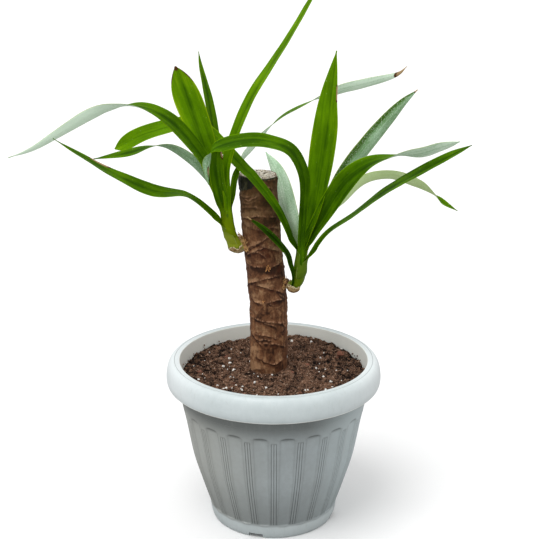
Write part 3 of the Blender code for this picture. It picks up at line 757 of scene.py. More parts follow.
# Papery folds between the rings: how far each stands out, and its height and angle along it.
FOLDS = [
    (0.5, [(412, -74), (409.5, -52), (408.5, -28)]),
    (0.5, [(406.5, -78), (401.5, -63), (399, -40)]),
    (0.5, [(397, -70), (392, -54), (390.5, -32)]),
    (0.6, [(387.5, -62), (382, -45), (379, -22)]),
    (0.3, [(393, -175), (391, -164), (390, -145), (390.5, -122), (392.5, -108)]),
    (0.25, [(388.5, -140), (386.5, -120), (390.5, -100), (395, -84)]),
    (0.2, [(382, -150), (383.5, -120), (387.5, -92)]),
    (0.25, [(374, -175), (378.5, -132), (380, -101), (377, -74)]),
    (0.6, [(365, -178), (366, -134), (369.5, -100), (367.5, -54), (364.5, -20)]),
    (0.15, [(359, -165), (355.5, -122), (352.5, -86), (356.5, -47)]),
    (0.5, [(356, -60), (354, -40), (349, -24)]),
    (0.8, [(329, -146), (333, -125), (336, -110), (341, -88), (344.5, -74), (345, -58)]),
    (0.6, [(326, -148), (330, -130), (334, -114), (341, -82)]),
    (0.6, [(324, -138), (329, -110), (334, -77)]),
    (0.6, [(337, -104), (333, -79), (329.5, -56), (326, -28)]),
    (0.6, [(318, -158), (325, -132), (327.5, -104), (323, -86), (316, -76)]),
    (0.6, [(314, -166), (310.5, -140), (309, -118), (310, -92)]),
    (0.6, [(309.5, -68), (311, -45), (314, -22)]),
    (1.0, [(283, -178), (289, -140), (292.7, -114), (296.5, -86), (298, -60), (296.5, -34)]),
    (0.9, [(287.5, -138), (286.5, -104), (284.5, -86), (282.4, -69), (279, -51), (275, -22)]),
    (0.8, [(271.5, -160), (266, -131), (265, -112), (264.5, -102)]),
    (0.8, [(265, -100), (267.7, -87), (269.3, -61), (268.5, -36)]),
    (0.5, [(266, -88), (262, -72)]),
    (0.4, [(276, -56), (268, -28)]),
    (0.6, [(246.5, -162), (244.7, -134), (244, -108), (243, -83), (240.5, -55), (239, -26)]),
    (0.6, [(242, -110), (240.5, -89), (238.5, -75), (235, -62)]),
    (0.7, [(242, -49), (237.7, -41), (233.5, -31)]),
    (0.7, [(229, -46), (233.7, -33), (238, -18)]),
    (0.9, [(230, -162), (223, -139), (217.5, -125), (213.5, -107)]),
    (0.6, [(226, -144), (226.2, -124), (227, -103), (226, -90), (223.5, -72), (222, -56)]),
    (0.6, [(222.5, -142), (219.5, -120), (221.5, -103), (220.5, -88), (221, -70)]),
    (0.7, [(217.5, -114), (216.7, -81), (214.3, -57), (207, -18)]),
    (1.1, [(198, -136), (196.3, -112), (192.8, -96), (190.5, -79), (191, -68), (193.6, -54),
           (194, -28)]),
    (0.3, [(175, -170), (183, -133), (185.5, -100)]),
    (0.6, [(262, 20), (261, 60), (270, 95)]), (0.7, [(318, 60), (322, 105), (309, 150)]),
    (0.5, [(225, 110), (226, 145), (236, 175)]), (0.7, [(372, 30), (371, 75), (381, 120)]),
    (0.5, [(350, 95), (349, 130), (343, 165)]), (0.6, [(240, -5), (244, 30), (236, 60)]),
    (0.5, [(288, 100), (295, 140), (296, 170)]), (0.5, [(335, 10), (334, 45), (341, 80)]),
    (0.5, [(400, 40), (393, 85), (396, 130)]), (0.8, [(205, 30), (199, 80), (208, 140)]),
    (0.6, [(301, -8), (305, 25), (299, 55)]), (0.6, [(275, 125), (270, 150), (274, 178)]),
]
# Darker and paler places: angle, height, spread round the cane in degrees, spread in height,
# and how dark it is, with less than nothing for a pale one.
DARK_AND_PALE_PATCHES = [(-58, 362, 34, 5, 1.0), (-100, 374, 60, 4, -0.6), (-178, 366, 12, 4, 1.2),
          (-22, 365, 12, 3, 1.2), (-130, 350, 34, 9, -0.6), (-40, 392, 18, 10, -0.5),
          (-80, 322.5, 40, 3, 0.4), (-75, 302, 48, 5, 1.2), (-120, 306.5, 34, 2.5, 0.8),
          (-48, 306, 22, 3, 0.9), (-95, 258, 50, 5, 0.3), (-88, 247, 46, 2.5, 0.5),
          (-60, 290, 26, 3.5, -0.1), (-118, 276, 34, 7, -0.6), (-32, 272, 22, 8, 0.9),
          (-118, 233, 34, 5.5, -1.0), (-40, 228, 20, 8, 0.6), (-100, 221, 22, 3, 0.7),
          (-98, 209.5, 24, 4.5, 0.7), (-76, 206, 4, 6, 0.5), (-50, 202, 20, 4.5, -0.5),
          (-146, 206, 18, 8, -1.3), (-145, 184, 24, 8, -1.0), (-45, 184, 26, 7, 0.7),
          (-160, 320, 22, 10, 0.5), (-12, 408, 20, 6, 1.0), (-110, 384, 40, 4, 0.5),
          (30, 300, 40, 9, 0.7), (120, 255, 40, 8, 0.6), (80, 350, 40, 7, 0.7),
          (150, 330, 30, 9, -0.5), (60, 225, 40, 9, -0.5), (100, 395, 50, 6, 0.5),
          (20, 380, 30, 8, -0.5), (110, 290, 30, 7, -0.5), (-130, 397, 26, 4, 0.9),
          (-68, 386, 18, 7, 0.8), (-96, 352, 20, 6, 0.6), (-128, 384, 16, 3, -0.6)]
# The lower edge of the wax: height and angle. A lump of it stands out by the cut at the right.
WAX_EDGE = [(413.5, -84), (410, -92), (404, -100), (399.5, -110), (397, -136), (394, -165),
            (394.5, -182), (399, -192), (413.5, -200)]
WAX_LUMP_TURN = -16.0
WAX_LUMP_HEIGHT = 409.5
# Rows of the sawn face, as shares of its radius.
FACE_SHARES = [0.985, 0.95, 0.9, 0.84, 0.76, 0.67, 0.57, 0.46, 0.34, 0.2, 0.0]


def round_noise(ring, scale, height, shift=0.0):
    """Noise over the bark, as coarse round the cane and up it as the scale and height say."""
    return noise.noise(Vector((ring.x * scale + shift, ring.y * scale, height)))


def leaf_scars(ring, bent):
    """The ring scars at a place: how far they stand out, the painted shadow under each lip, and
    the pale papery lip with a painted highlight on it.
    """
    out, dark, pale = 0.0, 0.0, 0.0
    for number, (height, tilt_x, tilt_y) in enumerate(CANE_SCARS):
        above = bent - (height + tilt_x * ring.x + tilt_y * ring.y)
        if not -2.5 < above < SCAR_REACH:
            continue
        kept = clamp(0.3 + 1.9 * round_noise(ring, 2.4, number * 2.3, 5.0))
        kept *= clamp(2.0 * ring.y + 1.3)
        if above > 0.0:
            out += SCAR_RISE * (0.25 + 0.75 * kept) * math.exp(-above / 4.0)
        # Painted shadow under the lip, and a painted highlight on its pale papery edge.
        dark = max(dark, kept * bell((above + 0.5) / 0.6))
        pale = max(pale, 0.8 * kept * bell((above - 0.45) / 0.45))
    return out, dark, pale


def papery_folds(degrees, z, close):
    """The folds at a place: the same three for them, and the painted shade under them, with the
    plate above each painted paler.
    """
    out, dark, pale, shade = 0.0, 0.0, 0.0, 0.0
    for height, line in FOLDS:
        share = (degrees - line[0][1]) / (line[-1][1] - line[0][1])
        if not 0.0 < share < 1.0 or abs(z - line[0][0]) > 24.0:
            continue
        above = z - value_at(line, degrees) - 0.5 * close
        above -= 0.7 * noise.noise(Vector((degrees / 9.0, line[0][0], 0.0)))
        if not -6.0 < above < 7.0:
            continue
        kept = clamp(0.8 + 0.9 * noise.noise(Vector((degrees / 12.0, line[-1][0], 3.0))))
        kept *= clamp(5.0 * share) * clamp(5.0 * (1.0 - share))
        lip = math.exp(-above / 1.8) if above > 0.0 else bell(above / 0.4)
        out += FOLD_RISE * height * kept * lip
        drawn = kept * clamp(0.4 + height)
        # Painted shadow under the lip, and a painted highlight on its pale papery edge.
        dark = max(dark, drawn * bell((above + 1.2) / 0.85))
        wide = 0.7 + 0.9 * noise.noise(Vector((degrees / 8.0, line[0][0], 9.0)))
        broken = clamp(0.45 + 1.5 * noise.noise(Vector((degrees / 4.0, line[0][0], 6.0))))
        pale = max(pale, drawn * broken * bell((above - wide / 2.0) / max(0.3, wide)))
        # Painted shade below the lip, and the plate above it painted paler.
        shade += drawn * (0.8 * bell((above + 2.4) / 1.6) - 0.5 * bell((above - 2.5) / 2.5))
    return out, dark, pale, shade


def patch_darkness(degrees, bent):
    """How dark the listed darker and paler places make a place."""
    tone_and_shade = 0.0
    for turn, height, spread, tall, depth in DARK_AND_PALE_PATCHES:
        off = ((degrees - turn + 180.0) % 360.0 - 180.0) / spread
        rise = (bent - height) / tall
        if abs(off) < 2.0 and abs(rise) < 2.0:
            tone_and_shade += depth * bell(off) * bell(rise)
    return tone_and_shade


def bark(angle, z):
    """How far the bark stands out at a place, how much it is a dark crack or painted shadow under
    a lip, how much a pale papery edge with a painted highlight on it, and its tone, which holds
    the painted shade under the folds."""
    ring = Vector((math.cos(angle), math.sin(angle), 0.0))
    degrees = math.degrees(angle)
    broad = round_noise(ring, 2.2, z / 13.0)
    close = round_noise(ring, 6.5, z / 5.0, 4.0)
    bent = z - 2.0 * broad - 0.7 * close
    scar_out, scar_shadow, scar_pale = leaf_scars(ring, bent)
    fold_out, fold_shadow, fold_pale, shade = papery_folds(degrees, z, close)
    near, cells = noise.voronoi(Vector((ring.x * 1.3, ring.y * 1.3, bent / 15.0)))
    gap = near[1] - near[0]
    crumple = clamp(0.5 + 1.2 * round_noise(ring, 2.0, z / 15.0, 2.0))
    crease = max(0.0, 1.0 - 5.0 * abs(round_noise(ring, 5.5, bent / 2.6)))
    wrinkle = max(0.0, 1.0 - 5.0 * abs(round_noise(ring, 11.0, bent / 1.3)))
    out = scar_out + fold_out + 0.5 * clamp(gap * 3.0) + crumple * (0.3 * crease + 0.15 * wrinkle)
    out += 0.12 * round_noise(ring, 16.0, z / 2.0) + 0.9 * broad - 0.6
    joint = 0.6 * clamp(1.0 - gap / 0.06) * clamp(0.5 + 2.0 * broad)
    split = 0.6 * crumple * clamp(-3.5 * round_noise(ring, 6.0, bent / 3.0) - 0.7)
    tone_and_shade = shade + 0.5 * round_noise(ring, 1.7, z / 9.0, 7.0) + 0.5 * close
    tone_and_shade += 0.35 * noise.cell(cells[0] * 7.0) + patch_darkness(degrees, bent)
    return (out, clamp(max(scar_shadow, fold_shadow, joint, split)), clamp(max(scar_pale, fold_pale)),
            tone_and_shade)


def grid_rows(bm, columns, rows):
    """Adds a flat grid. Gives its vertices with their place across, -1 to 1, and their row."""
    made = bmesh.ops.create_grid(bm, x_segments=columns, y_segments=rows, size=1.0)["verts"]
    return [(vert, vert.co.x, round((vert.co.y + 1.0) / 2.0 * rows)) for vert in made]


cane_curve = smooth_route(CANE_ROUTE, 2.0)


def cane_centre(z):
    """Middle of the cane at a height."""
    for low, high in zip(cane_curve, cane_curve[1:]):
        if low.z <= z <= high.z:
            return low.lerp(high, (z - low.z) / (high.z - low.z))
    return cane_curve[0] if z < cane_curve[0].z else cane_curve[-1]


side_heights = [CANE_BOTTOM, 130.0, BARK_FROM]
while side_heights[-1] < CANE_TOP - 1.2 * CANE_ROW:
    side_heights.append(max(side_heights[-1] + CANE_ROW, BARK_FROM + 8.0))
side_heights.append(CANE_TOP - 0.3)
bm = bmesh.new()
crack_and_shadow = bm.verts.layers.float.new("crack_and_shadow")
paper = bm.verts.layers.float.new("paper")
sawn = bm.verts.layers.float.new("sawn")
wax = bm.verts.layers.float.new("wax")
tone_and_shade_layer = bm.verts.layers.float.new("tone_and_shade")
for vert, across, row in grid_rows(bm, CANE_COLUMNS, len(side_heights) + len(FACE_SHARES) - 1):
    angle = across * math.pi
    ring = Vector((math.cos(angle), math.sin(angle), 0.0))
    if row < len(side_heights):
        z = side_heights[row]
        degrees = math.degrees(angle)
        out, vert[crack_and_shadow], vert[paper], vert[tone_and_shade_layer] = bark(angle, z)
        bare = clamp((z - BARK_FROM) / 10.0)
        radius = CANE_BURIED_RADIUS + (CANE_RADIUS - CANE_BURIED_RADIUS + out) * bare
        worn = clamp((z - CANE_TOP + 2.0) / 2.0)
        lump_share = bell((degrees - WAX_LUMP_TURN) / 8.0) * bell((z - WAX_LUMP_HEIGHT) / 4.0)
        drip = value_at(WAX_EDGE, (degrees + 220.0) % 360.0 - 220.0) + 1.2 * noise.noise(ring * 7.0)
        waxed = clamp((z - drip) / 1.2 + 2.0 * lump_share)
        radius += 1.7 * lump_share + 0.35 * waxed - 0.6 * worn
        vert.co = Vector((*cane_centre(z).xy, z)) + ring * radius
        smear = clamp((z - CANE_TOP + 3.4 + 1.4 * noise.noise(ring * 9.0)) / 0.6)
        smear *= clamp((CANE_TOP - 0.8 - z) / 0.4) * clamp(-ring.y * 2.0 - 0.3)
        vert[wax] = max(waxed, smear)
        vert[sawn] = max(worn * 0.4, clamp((z - CANE_TOP + 1.1) / 0.4))
    else:
        share = FACE_SHARES[row - len(side_heights)]
        at = ring * (CANE_RADIUS - 1.0 + bark(angle, CANE_TOP - 1.0)[0] * 0.7) * share
        rough = 0.5 * noise.noise(at / 2.2) + 0.7 * noise.noise(at / 7.0 + Vector((3, 1, 0)))
        rough += 0.25 * noise.noise(at / 0.9)
        rise = 0.5 * clamp((share - 0.88) / 0.05) - 0.5 + 0.6 * rough
        vert.co = cane_curve[-1] + at + Vector((0, 0, min(0.0, rise)))
        vert[sawn] = clamp((0.985 - share) / 0.05)
        front = clamp(-ring.y * 1.6 - 0.35 * ring.x + 0.1)
        off_ring = abs(share - 0.86 + 0.3 * noise.noise(at / 4.0)) / 0.06
        vert[wax] = 0.8 * front * clamp(0.5 - off_ring)
bmesh.ops.remove_doubles(bm, verts=bm.verts, dist=0.01)
bmesh.ops.edgeloop_fill(bm, edges=[e for e in bm.edges if e.is_boundary])
bmesh.ops.recalc_face_normals(bm, faces=bm.faces)


def make_bark():
    material, tree, shader = new_material("cane_bark")
    place = add_node(tree, "TexCoord").outputs["Object"]
    along = stretched(tree, place, (1.0, 1.0, 0.4))
    round_it = stretched(tree, place, (1.0, 1.0, 3.4))
    base = mottle(tree, along, 110.0, 620.0, paint(84, 53, 35), paint(128, 87, 60))[0]
    wisps = cloud(tree, along, 210.0, 4.0, 0.65)
    base = coat(tree, base, ease(tree, wisps, 0.52, 0.68), 0.6, paint(162, 120, 84))
    base = coat(tree, base, ease(tree, wisps, 0.46, 0.32), 0.6, paint(50, 29, 16))
    # The tone holds random mottling, the darker and paler places and the painted fold shade.
    tone_and_shade = sums(tree, "MULTIPLY_ADD", cloud(tree, round_it, 90.0, 4.0, 0.7), 1.2,
                 painted(tree, "tone_and_shade"))
    red = ease(tree, cloud(tree, place, 55.0, 3.0), 0.4, 0.65)
    deep = blend(tree, red, paint(42, 24, 13), paint(80, 42, 24))
    base = coat(tree, base, ease(tree, tone_and_shade, 0.7, 1.6), 0.9, deep)
    base = coat(tree, base, ease(tree, tone_and_shade, 0.55, -0.3), 0.75, paint(168, 130, 96))
    # The top is darker and greener, as the cane is in the leaves' shade in the photograph.
    height = add_node(tree, "SeparateXYZ", {"Vector": place}).outputs["Z"]
    base = coat(tree, base, ease(tree, height, 0.33, 0.385), 0.55, paint(76, 60, 30))
    specks = cloud(tree, stretched(tree, place, (1.0, 1.0, 1.6)), 620.0, 2.0)
    base = coat(tree, base, ease(tree, specks, 0.58, 0.68), 0.4, paint(52, 34, 24))
    # Papery edges with a painted highlight, then cracks and the painted shadow under the lips.
    base = coat(tree, base, painted(tree, "paper"), 0.75, paint(206, 158, 124))
    base = coat(tree, base, painted(tree, "crack_and_shadow"), 0.85, paint(36, 19, 13))
    face = mottle(tree, place, 160.0, 520.0, paint(166, 150, 122), paint(246, 242, 230))[0]
    pores = cloud(tree, place, 330.0, 3.0, 0.7)
    face = blend(tree, ease(tree, pores, 0.52, 0.58), face, paint(62, 46, 34))
    base = blend(tree, painted(tree, "sawn"), base, face)
    tar = mottle(tree, along, 260.0, 800.0, paint(10, 12, 5), paint(50, 50, 28))[0]
    tar = coat(tree, tar, ease(tree, wisps, 0.5, 0.66), 0.6, paint(96, 92, 66))
    base = blend(tree, painted(tree, "wax"), base, tar)
    rough = sums(tree, "MULTIPLY_ADD", painted(tree, "wax"), -0.3, 0.85)
    normal = bump(tree, cloud(tree, along, 500.0, 4.0, 0.65), 0.0006, 0.5,
                  bump(tree, wisps, 0.0016, 0.8))
    set_surface(tree, shader, base, rough, 0.25, normal)
    return material


BARK = make_bark()
cane = put_piece("cane_stem", bm, BARK, sharp=75.0)
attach(cane, "root")
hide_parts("cane")

# The dormant bud on the front of the cane, a rosette of stiff orange-brown scales, three small
# knobs of the same kind, and the torn fibres left where the shoots broke through the bark.
BUD_TURN = -79.5
BUD_HEIGHT = 308.8
BUD_SCALES = 13
# Turn, height and size of each knob.
KNOBS = [(-104, 268.6, 1.3), (148, 301.0, 1.5), (40, 246.0, 1.4)]
# The fibres round each shoot's foot: angle, height, spread, count and how far they stand off.
TORN_PATCHES = [(-170.0, 339.0, 4.0, 30, 4.0), (-152.0, 335.0, 4.5, 40, 3.0),
                (-142.0, 330.0, 2.5, 20, 1.5), (-20.0, 287.5, 4.0, 20, 1.5),
                (-24.0, 283.0, 4.0, 14, 1.5)]


def cane_surface(angle, z):
    """A place on the bark and the direction that it faces."""
    ring = Vector((math.cos(angle), math.sin(angle), 0.0))
    return Vector((*cane_centre(z).xy, z)) + ring * (CANE_RADIUS + bark(angle, z)[0]), ring


def bud_scale():
    """One pointed scale, 1 mm across at its foot and 2 mm long, hollow towards the bud."""
    shape = bmesh.new()
    tip = shape.verts.layers.float.new("tip")
    tapered(shape, 10, 1.0, 0.12, 4)
    for vert in shape.verts:
        up = vert.co.z + 1.0
        vert[tip] = up / 2.0
        vert.co.y = vert.co.y * 0.35 + 0.3 * vert.co.x ** 2 - 0.16 * up * up
        vert.co.z = up
    return to_mesh(shape, "scale")


bm = bmesh.new()
petal = bud_scale()
foot, away = cane_surface(math.radians(BUD_TURN), BUD_HEIGHT)
facing = away.to_track_quat("Z", "Y")
for k in range(BUD_SCALES):
    spin = facing @ turned(k * 2.4)
    lean = turned(math.radians(-64 + 3.5 * k), axes="X")
    reach = (2.2 - 0.08 * k) * (1.0 + 0.25 * math.sin(k * 2.1))
    at = foot + spin @ Vector((0, 0.8, 0)) - away * 0.2
    lay(bm, petal, at, spin @ lean, Vector((1.5, 1.5, reach)))
for turn, height, size in KNOBS:
    foot, away = cane_surface(math.radians(turn), height)
    facing = away.to_track_quat("Z", "Y")
    for k in range(4):
        lay(bm, petal, foot - away * 0.5, facing @ turned(k * 1.7, 0.5 - 0.1 * k),
            Vector((size, size, size * 1.1)))
buds = put_piece("cane_buds", bm,
                 make_matted("bud_scale", paint(150, 92, 46), paint(240, 184, 122), 0.7,
                             paint(52, 26, 12)), sharp=60)
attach(buds, "root")

bm = bmesh.new()
draw = random.Random(5)
for turn, height, spread, count, stand_off in TORN_PATCHES:
    for k in range(count):
        angle = math.radians(turn) + draw.gauss(0.0, spread * 0.55) / CANE_RADIUS
        at, away = cane_surface(angle, height + draw.gauss(0.0, spread * 0.5))
        at += away * stand_off * draw.random() ** 2
        upright = Vector((0, 0, 1)) + away * draw.uniform(0.1, 0.8)
        upright += away.cross(Vector((0, 0, 1))) * draw.uniform(-0.9, 0.9)
        facing = upright.to_track_quat("Z", "Y") @ turned(draw.uniform(0, math.tau))
        size = Vector((draw.uniform(3.0, 7.0), draw.uniform(3.0, 7.0), draw.uniform(1.4, 3.6)))
        lay(bm, draw.choice(threads), at + away * 0.9, facing, size)
        if k % 2:
            size = Vector((draw.uniform(0.8, 1.5), draw.uniform(0.6, 1.1), draw.uniform(1.4, 3.0)))
            lay(bm, petal, at + away * 0.2, facing, size)
torn = put_piece("torn_fibres", bm,
                 make_matted("torn_fibre", paint(112, 60, 22), paint(252, 206, 140), 0.75))
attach(torn, "root")

# The collars: a short knuckle of dark, cracked bark where each shoot broke out of the cane. It is
# one with the cane's wood and carries the shoot's stem on its blunt end.
COLLARS = {
    "left": dict(seat=(-36.5, 8, 331), outward=(-0.95, -0.3, 0), radius=7.5),
    "right": dict(seat=(17.5, 8, 284.5), outward=(0.98, -0.15, -0.1), radius=6.0),
}
COLLAR_LENGTH = 9.0
COLLAR_SIDES = 60
COLLAR_ROWS = 18


def close_up(bm):
    """Joins the seam of a rolled-up grid, closes its ends and turns its faces outwards."""
    bmesh.ops.remove_doubles(bm, verts=bm.verts, dist=0.01)
    bmesh.ops.holes_fill(bm, edges=[e for e in bm.edges if e.is_boundary], sides=0)
    bmesh.ops.recalc_face_normals(bm, faces=bm.faces)


bm = bmesh.new()
crack_and_shadow = bm.verts.layers.float.new("crack_and_shadow")
paper = bm.verts.layers.float.new("paper")
tone_and_shade_layer = bm.verts.layers.float.new("tone_and_shade")
for collar in COLLARS.values():
    outward = Vector(collar["outward"]).normalized()
    across = outward.cross(Vector((0, 0, 1))).normalized()
    up = across.cross(outward)
    for vert, place, row in grid_rows(bm, COLLAR_SIDES, COLLAR_ROWS):
        angle, share = place * math.pi, 1.0 - row / COLLAR_ROWS
        ring = across * math.cos(angle) + up * math.sin(angle)
        rough = 0.8 * noise.noise(ring * 2.2 + outward * (3.0 + share * 3.0))
        rough += 0.5 * noise.noise(ring * 6.0 + outward * (5.0 + share * 7.0))
        radius = collar["radius"] - 0.6 + 1.6 * share ** 2 + rough
        radius *= clamp(share / 0.075 + 0.02)
        vert.co = Vector(collar["seat"]) - outward * share * COLLAR_LENGTH + ring * radius
        vert[tone_and_shade_layer] = 0.7 + 0.8 * noise.noise(vert.co / 3.0)
        vert[paper] = clamp(2.0 * noise.noise(vert.co / 1.7) - 0.5)
close_up(bm)
collars = put_piece("shoot_collars", bm, BARK, sharp=60)
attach(collars, "root")
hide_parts("cane")

# The stems: each shoot breaks out of the cane sideways and turns up. The green part is wrapped by
# the feet of the leaves, and the outside of the bend is dry, tan scar tissue.
FRONT = Vector((0.0, -0.96, 0.28)).normalized()
STEM_SIDES = 40
# A stem is dry below a height. Green_from says how green it starts, and yellowing how yellow the
# feet of its leaves are. The cup round its foot has a place, a radius and a depth.
SHOOT_STEMS = {
    "left": dict(dry_below=326.0, green_from=0.0, yellowing=1.0, cup=(-43.6, 4.2, 333.2),
                 cup_radius=9.2, cup_depth=8.0,
                 route=[(-41.5, 5.5, 329.5, 7.4), (-44.8, 3.5, 334, 7.8), (-48.4, 1, 345, 7.0),
                        (-51.6, -1.5, 358, 6.6), (-52.6, -3, 371, 6.3), (-53, -2, 384, 2)]),
    "right": dict(dry_below=281.0, green_from=0.5, yellowing=0.5, cup=(23.2, 6.0, 284.4),
                  cup_radius=7.4, cup_depth=9.0,
                  route=[(22.5, 7, 282, 5), (26.5, 5, 286, 5.6), (28.8, 3.4, 292, 6.4),
                         (29.8, 2.6, 300, 6.9), (31, 1, 316, 6), (32.5, 0.5, 334, 2)]),
}
STEM_ROUTES = {}


def make_stem_skin():
    material, tree, shader = new_material("shoot_stem")
    place = add_node(tree, "TexCoord").outputs["Object"]
    rise = painted(tree, "rise")
    lines = cloud(tree, stretched(tree, place, (1.0, 1.0, 0.08)), 700.0, 2.0)
    green = grade(tree, rise, (0.0, paint(166, 172, 84)), (0.16, paint(146, 158, 40)),
                  (0.5, paint(112, 132, 16)), (0.8, paint(72, 102, 4)), (1.0, paint(60, 92, 2)))
    streak = sums(tree, "MULTIPLY", ease(tree, lines, 0.45, 0.7), ease(tree, rise, 0.9, 0.3))
    green = coat(tree, green, streak, 0.35, paint(168, 178, 74))
    tan = mottle(tree, place, 150.0, 700.0, paint(120, 90, 58), paint(206, 188, 148))[0]
    edge = cloud(tree, place, 260.0, 3.0, 0.6)
    share = ease(tree, sums(tree, "MULTIPLY_ADD", edge, 0.5, painted(tree, "dry")), 0.62, 0.8)
    normal = bump(tree, lines, 0.0004, 0.5, bump(tree, edge, 0.0006, 0.3))
    set_surface(tree, shader, blend(tree, share, green, tan),
                sums(tree, "MULTIPLY_ADD", share, 0.4, 0.42), 0.1, normal)
    return material


STEM_SKIN = make_stem_skin()
for side_name, stem in SHOOT_STEMS.items():
    collar = COLLARS[side_name]
    start = Vector(collar["seat"]) - Vector(collar["outward"]).normalized() * 1.5
    route = smooth_route([(*start, collar["radius"]), *stem["route"]], 1.0)
    STEM_ROUTES[side_name] = route
    last = len(route) - 1
    bm = bmesh.new()
    dry = bm.verts.layers.float.new("dry")
    rise = bm.verts.layers.float.new("rise")
    for vert, place, row in grid_rows(bm, STEM_SIDES, last):
        angle, share = place * math.pi, row / last
        middle = route[row].xyz
        along = (route[min(row + 1, last)] - route[max(row - 1, 0)]).xyz.normalized()
        across = along.cross(Vector((0.0, 1.0, 0.0))).normalized()
        ring = across * math.cos(angle) + along.cross(across) * math.sin(angle)
        ridges = 0.3 * abs(math.sin(angle * 3.5 + share * 2.0)) - 0.2
        rough = noise.noise((middle + ring * 5.0) / 3.0)
        vert.co = middle + ring * (route[row].w - 0.15 + ridges * clamp(share * 4.0))
        low = clamp((stem["dry_below"] + 5.0 - vert.co.z) / 9.0)
        vert[dry] = clamp(low * 0.85 + clamp(1.0 - share / 0.14) * 0.5)
        vert.co += ring * rough * 0.7 * vert[dry]
        vert[rise] = stem["green_from"] + (1.0 - stem["green_from"]) * share
    close_up(bm)
    piece = put_piece(side_name + "_stem", bm, STEM_SKIN, sharp=50)
    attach(piece, "root")
    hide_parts(side_name + "_shoot")

# The cups: the torn collar of dry skin in which the foot of each shoot stands, like the shell of
# a bud that has opened. It is tan and brown outside with a cream, ragged rim.
CUP_COLUMNS = 72
CUP_ROWS = 16
CUP_THICKNESS = 0.8


def make_dry_skin():
    material, tree, shader = new_material("dry_skin")
    place = add_node(tree, "TexCoord").outputs["Object"]
    base = mottle(tree, place, 230.0, 800.0, paint(112, 78, 44), paint(196, 168, 120))[0]
    rim = sums(tree, "MULTIPLY_ADD", cloud(tree, place, 300.0, 3.0), 0.6, painted(tree, "rim"))
    base = blend(tree, ease(tree, rim, 0.85, 1.25), base, paint(214, 200, 158))
    torn = cloud(tree, stretched(tree, place, (1.0, 1.0, 0.4)), 420.0, 4.0, 0.7)
    base = coat(tree, base, ease(tree, torn, 0.54, 0.64), 0.8, paint(92, 58, 34))
    set_surface(tree, shader, base, 0.8, 0.2, bump(tree, torn, 0.001, 0.7))
    return material


bm = bmesh.new()
rim = bm.verts.layers.float.new("rim")
for stem in SHOOT_STEMS.values():
    cup = Vector(stem["cup"])
    lean = (Vector(stem["route"][2][:3]) - cup).normalized()
    lean = (lean + Vector((0, 0, 1.5))).to_track_quat("Z", "Y")
    for vert, place, row in grid_rows(bm, CUP_COLUMNS, CUP_ROWS):
        angle, share = place * math.pi, row / CUP_ROWS
        ring = Vector((math.cos(angle), math.sin(angle), 0.0))
        ragged = 2.2 * noise.noise(ring * 2.2 + cup) + 2.0 * noise.noise(ring * 7.0 + cup) - 0.6
        radius = stem["cup_radius"] * math.sin(share * math.pi / 2) ** 0.8
        radius += share * 0.7 * noise.noise(ring * 3.0 + Vector((0, 0, share * 2.0)))
        height = ragged * share ** 2 - stem["cup_depth"] * math.cos(share * math.pi / 2)
        vert[rim] = share ** 3
        vert.co = cup + lean @ (ring * radius + Vector((0, 0, height)))
bmesh.ops.remove_doubles(bm, verts=bm.verts, dist=0.01)
bmesh.ops.recalc_face_normals(bm, faces=bm.faces)
cups = put_piece("shoot_cups", bm, make_dry_skin(), sharp=60)
skin = cups.modifiers.new("Thickness", "SOLIDIFY")
skin.thickness = CUP_THICKNESS * MM
skin.offset = 1.0
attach(cups, "root")

# The leaves: channelled straps that clasp the stem, arch over and twist near their tips. The
# upper side is glossy green with a thin pale margin, and the underside has a bluish bloom.
CHANNEL = 0.16
CLASP = 0.12
BLADE_COLUMNS = 20
BLADE_STEP = 2.2
BLADE_THICKNESS = 0.9
# A leaf's foot wraps the stem: this far round it, for this many millimetres from its start.
WRAP_TURN = 1.5
WRAP_FULL = 6.0
WRAP_END = 42.0
# What a leaf has unless its own row says otherwise. Widest is how far along it is widest, base
# how wide its foot is against that, taper how long it stays wide, and wrap how far its foot
# clasps the stem. Tone is how bright the green is, as the leaf looks in the photograph's light,
# so it holds painted light and shade, glow how much it brightens toward the tip, a painted light,
# and midrib how dark the middle is, a painted shade in the channel. On the underside, pale is
# how yellow and bloom how bluish it is, and green_edge how much bloom one edge lacks.
# Sear lists dry patches: how far along the blade, how far across it, the length along, the width
# across, and how dry.
PLAIN_LEAF = dict(widest=0.5, base=0.4, taper=2.2, wrap=1.0, tone=0.5, glow=0.0, midrib=0.12,
                  pale=0.0, bloom=0.0, green_edge=0.0, sear=[])
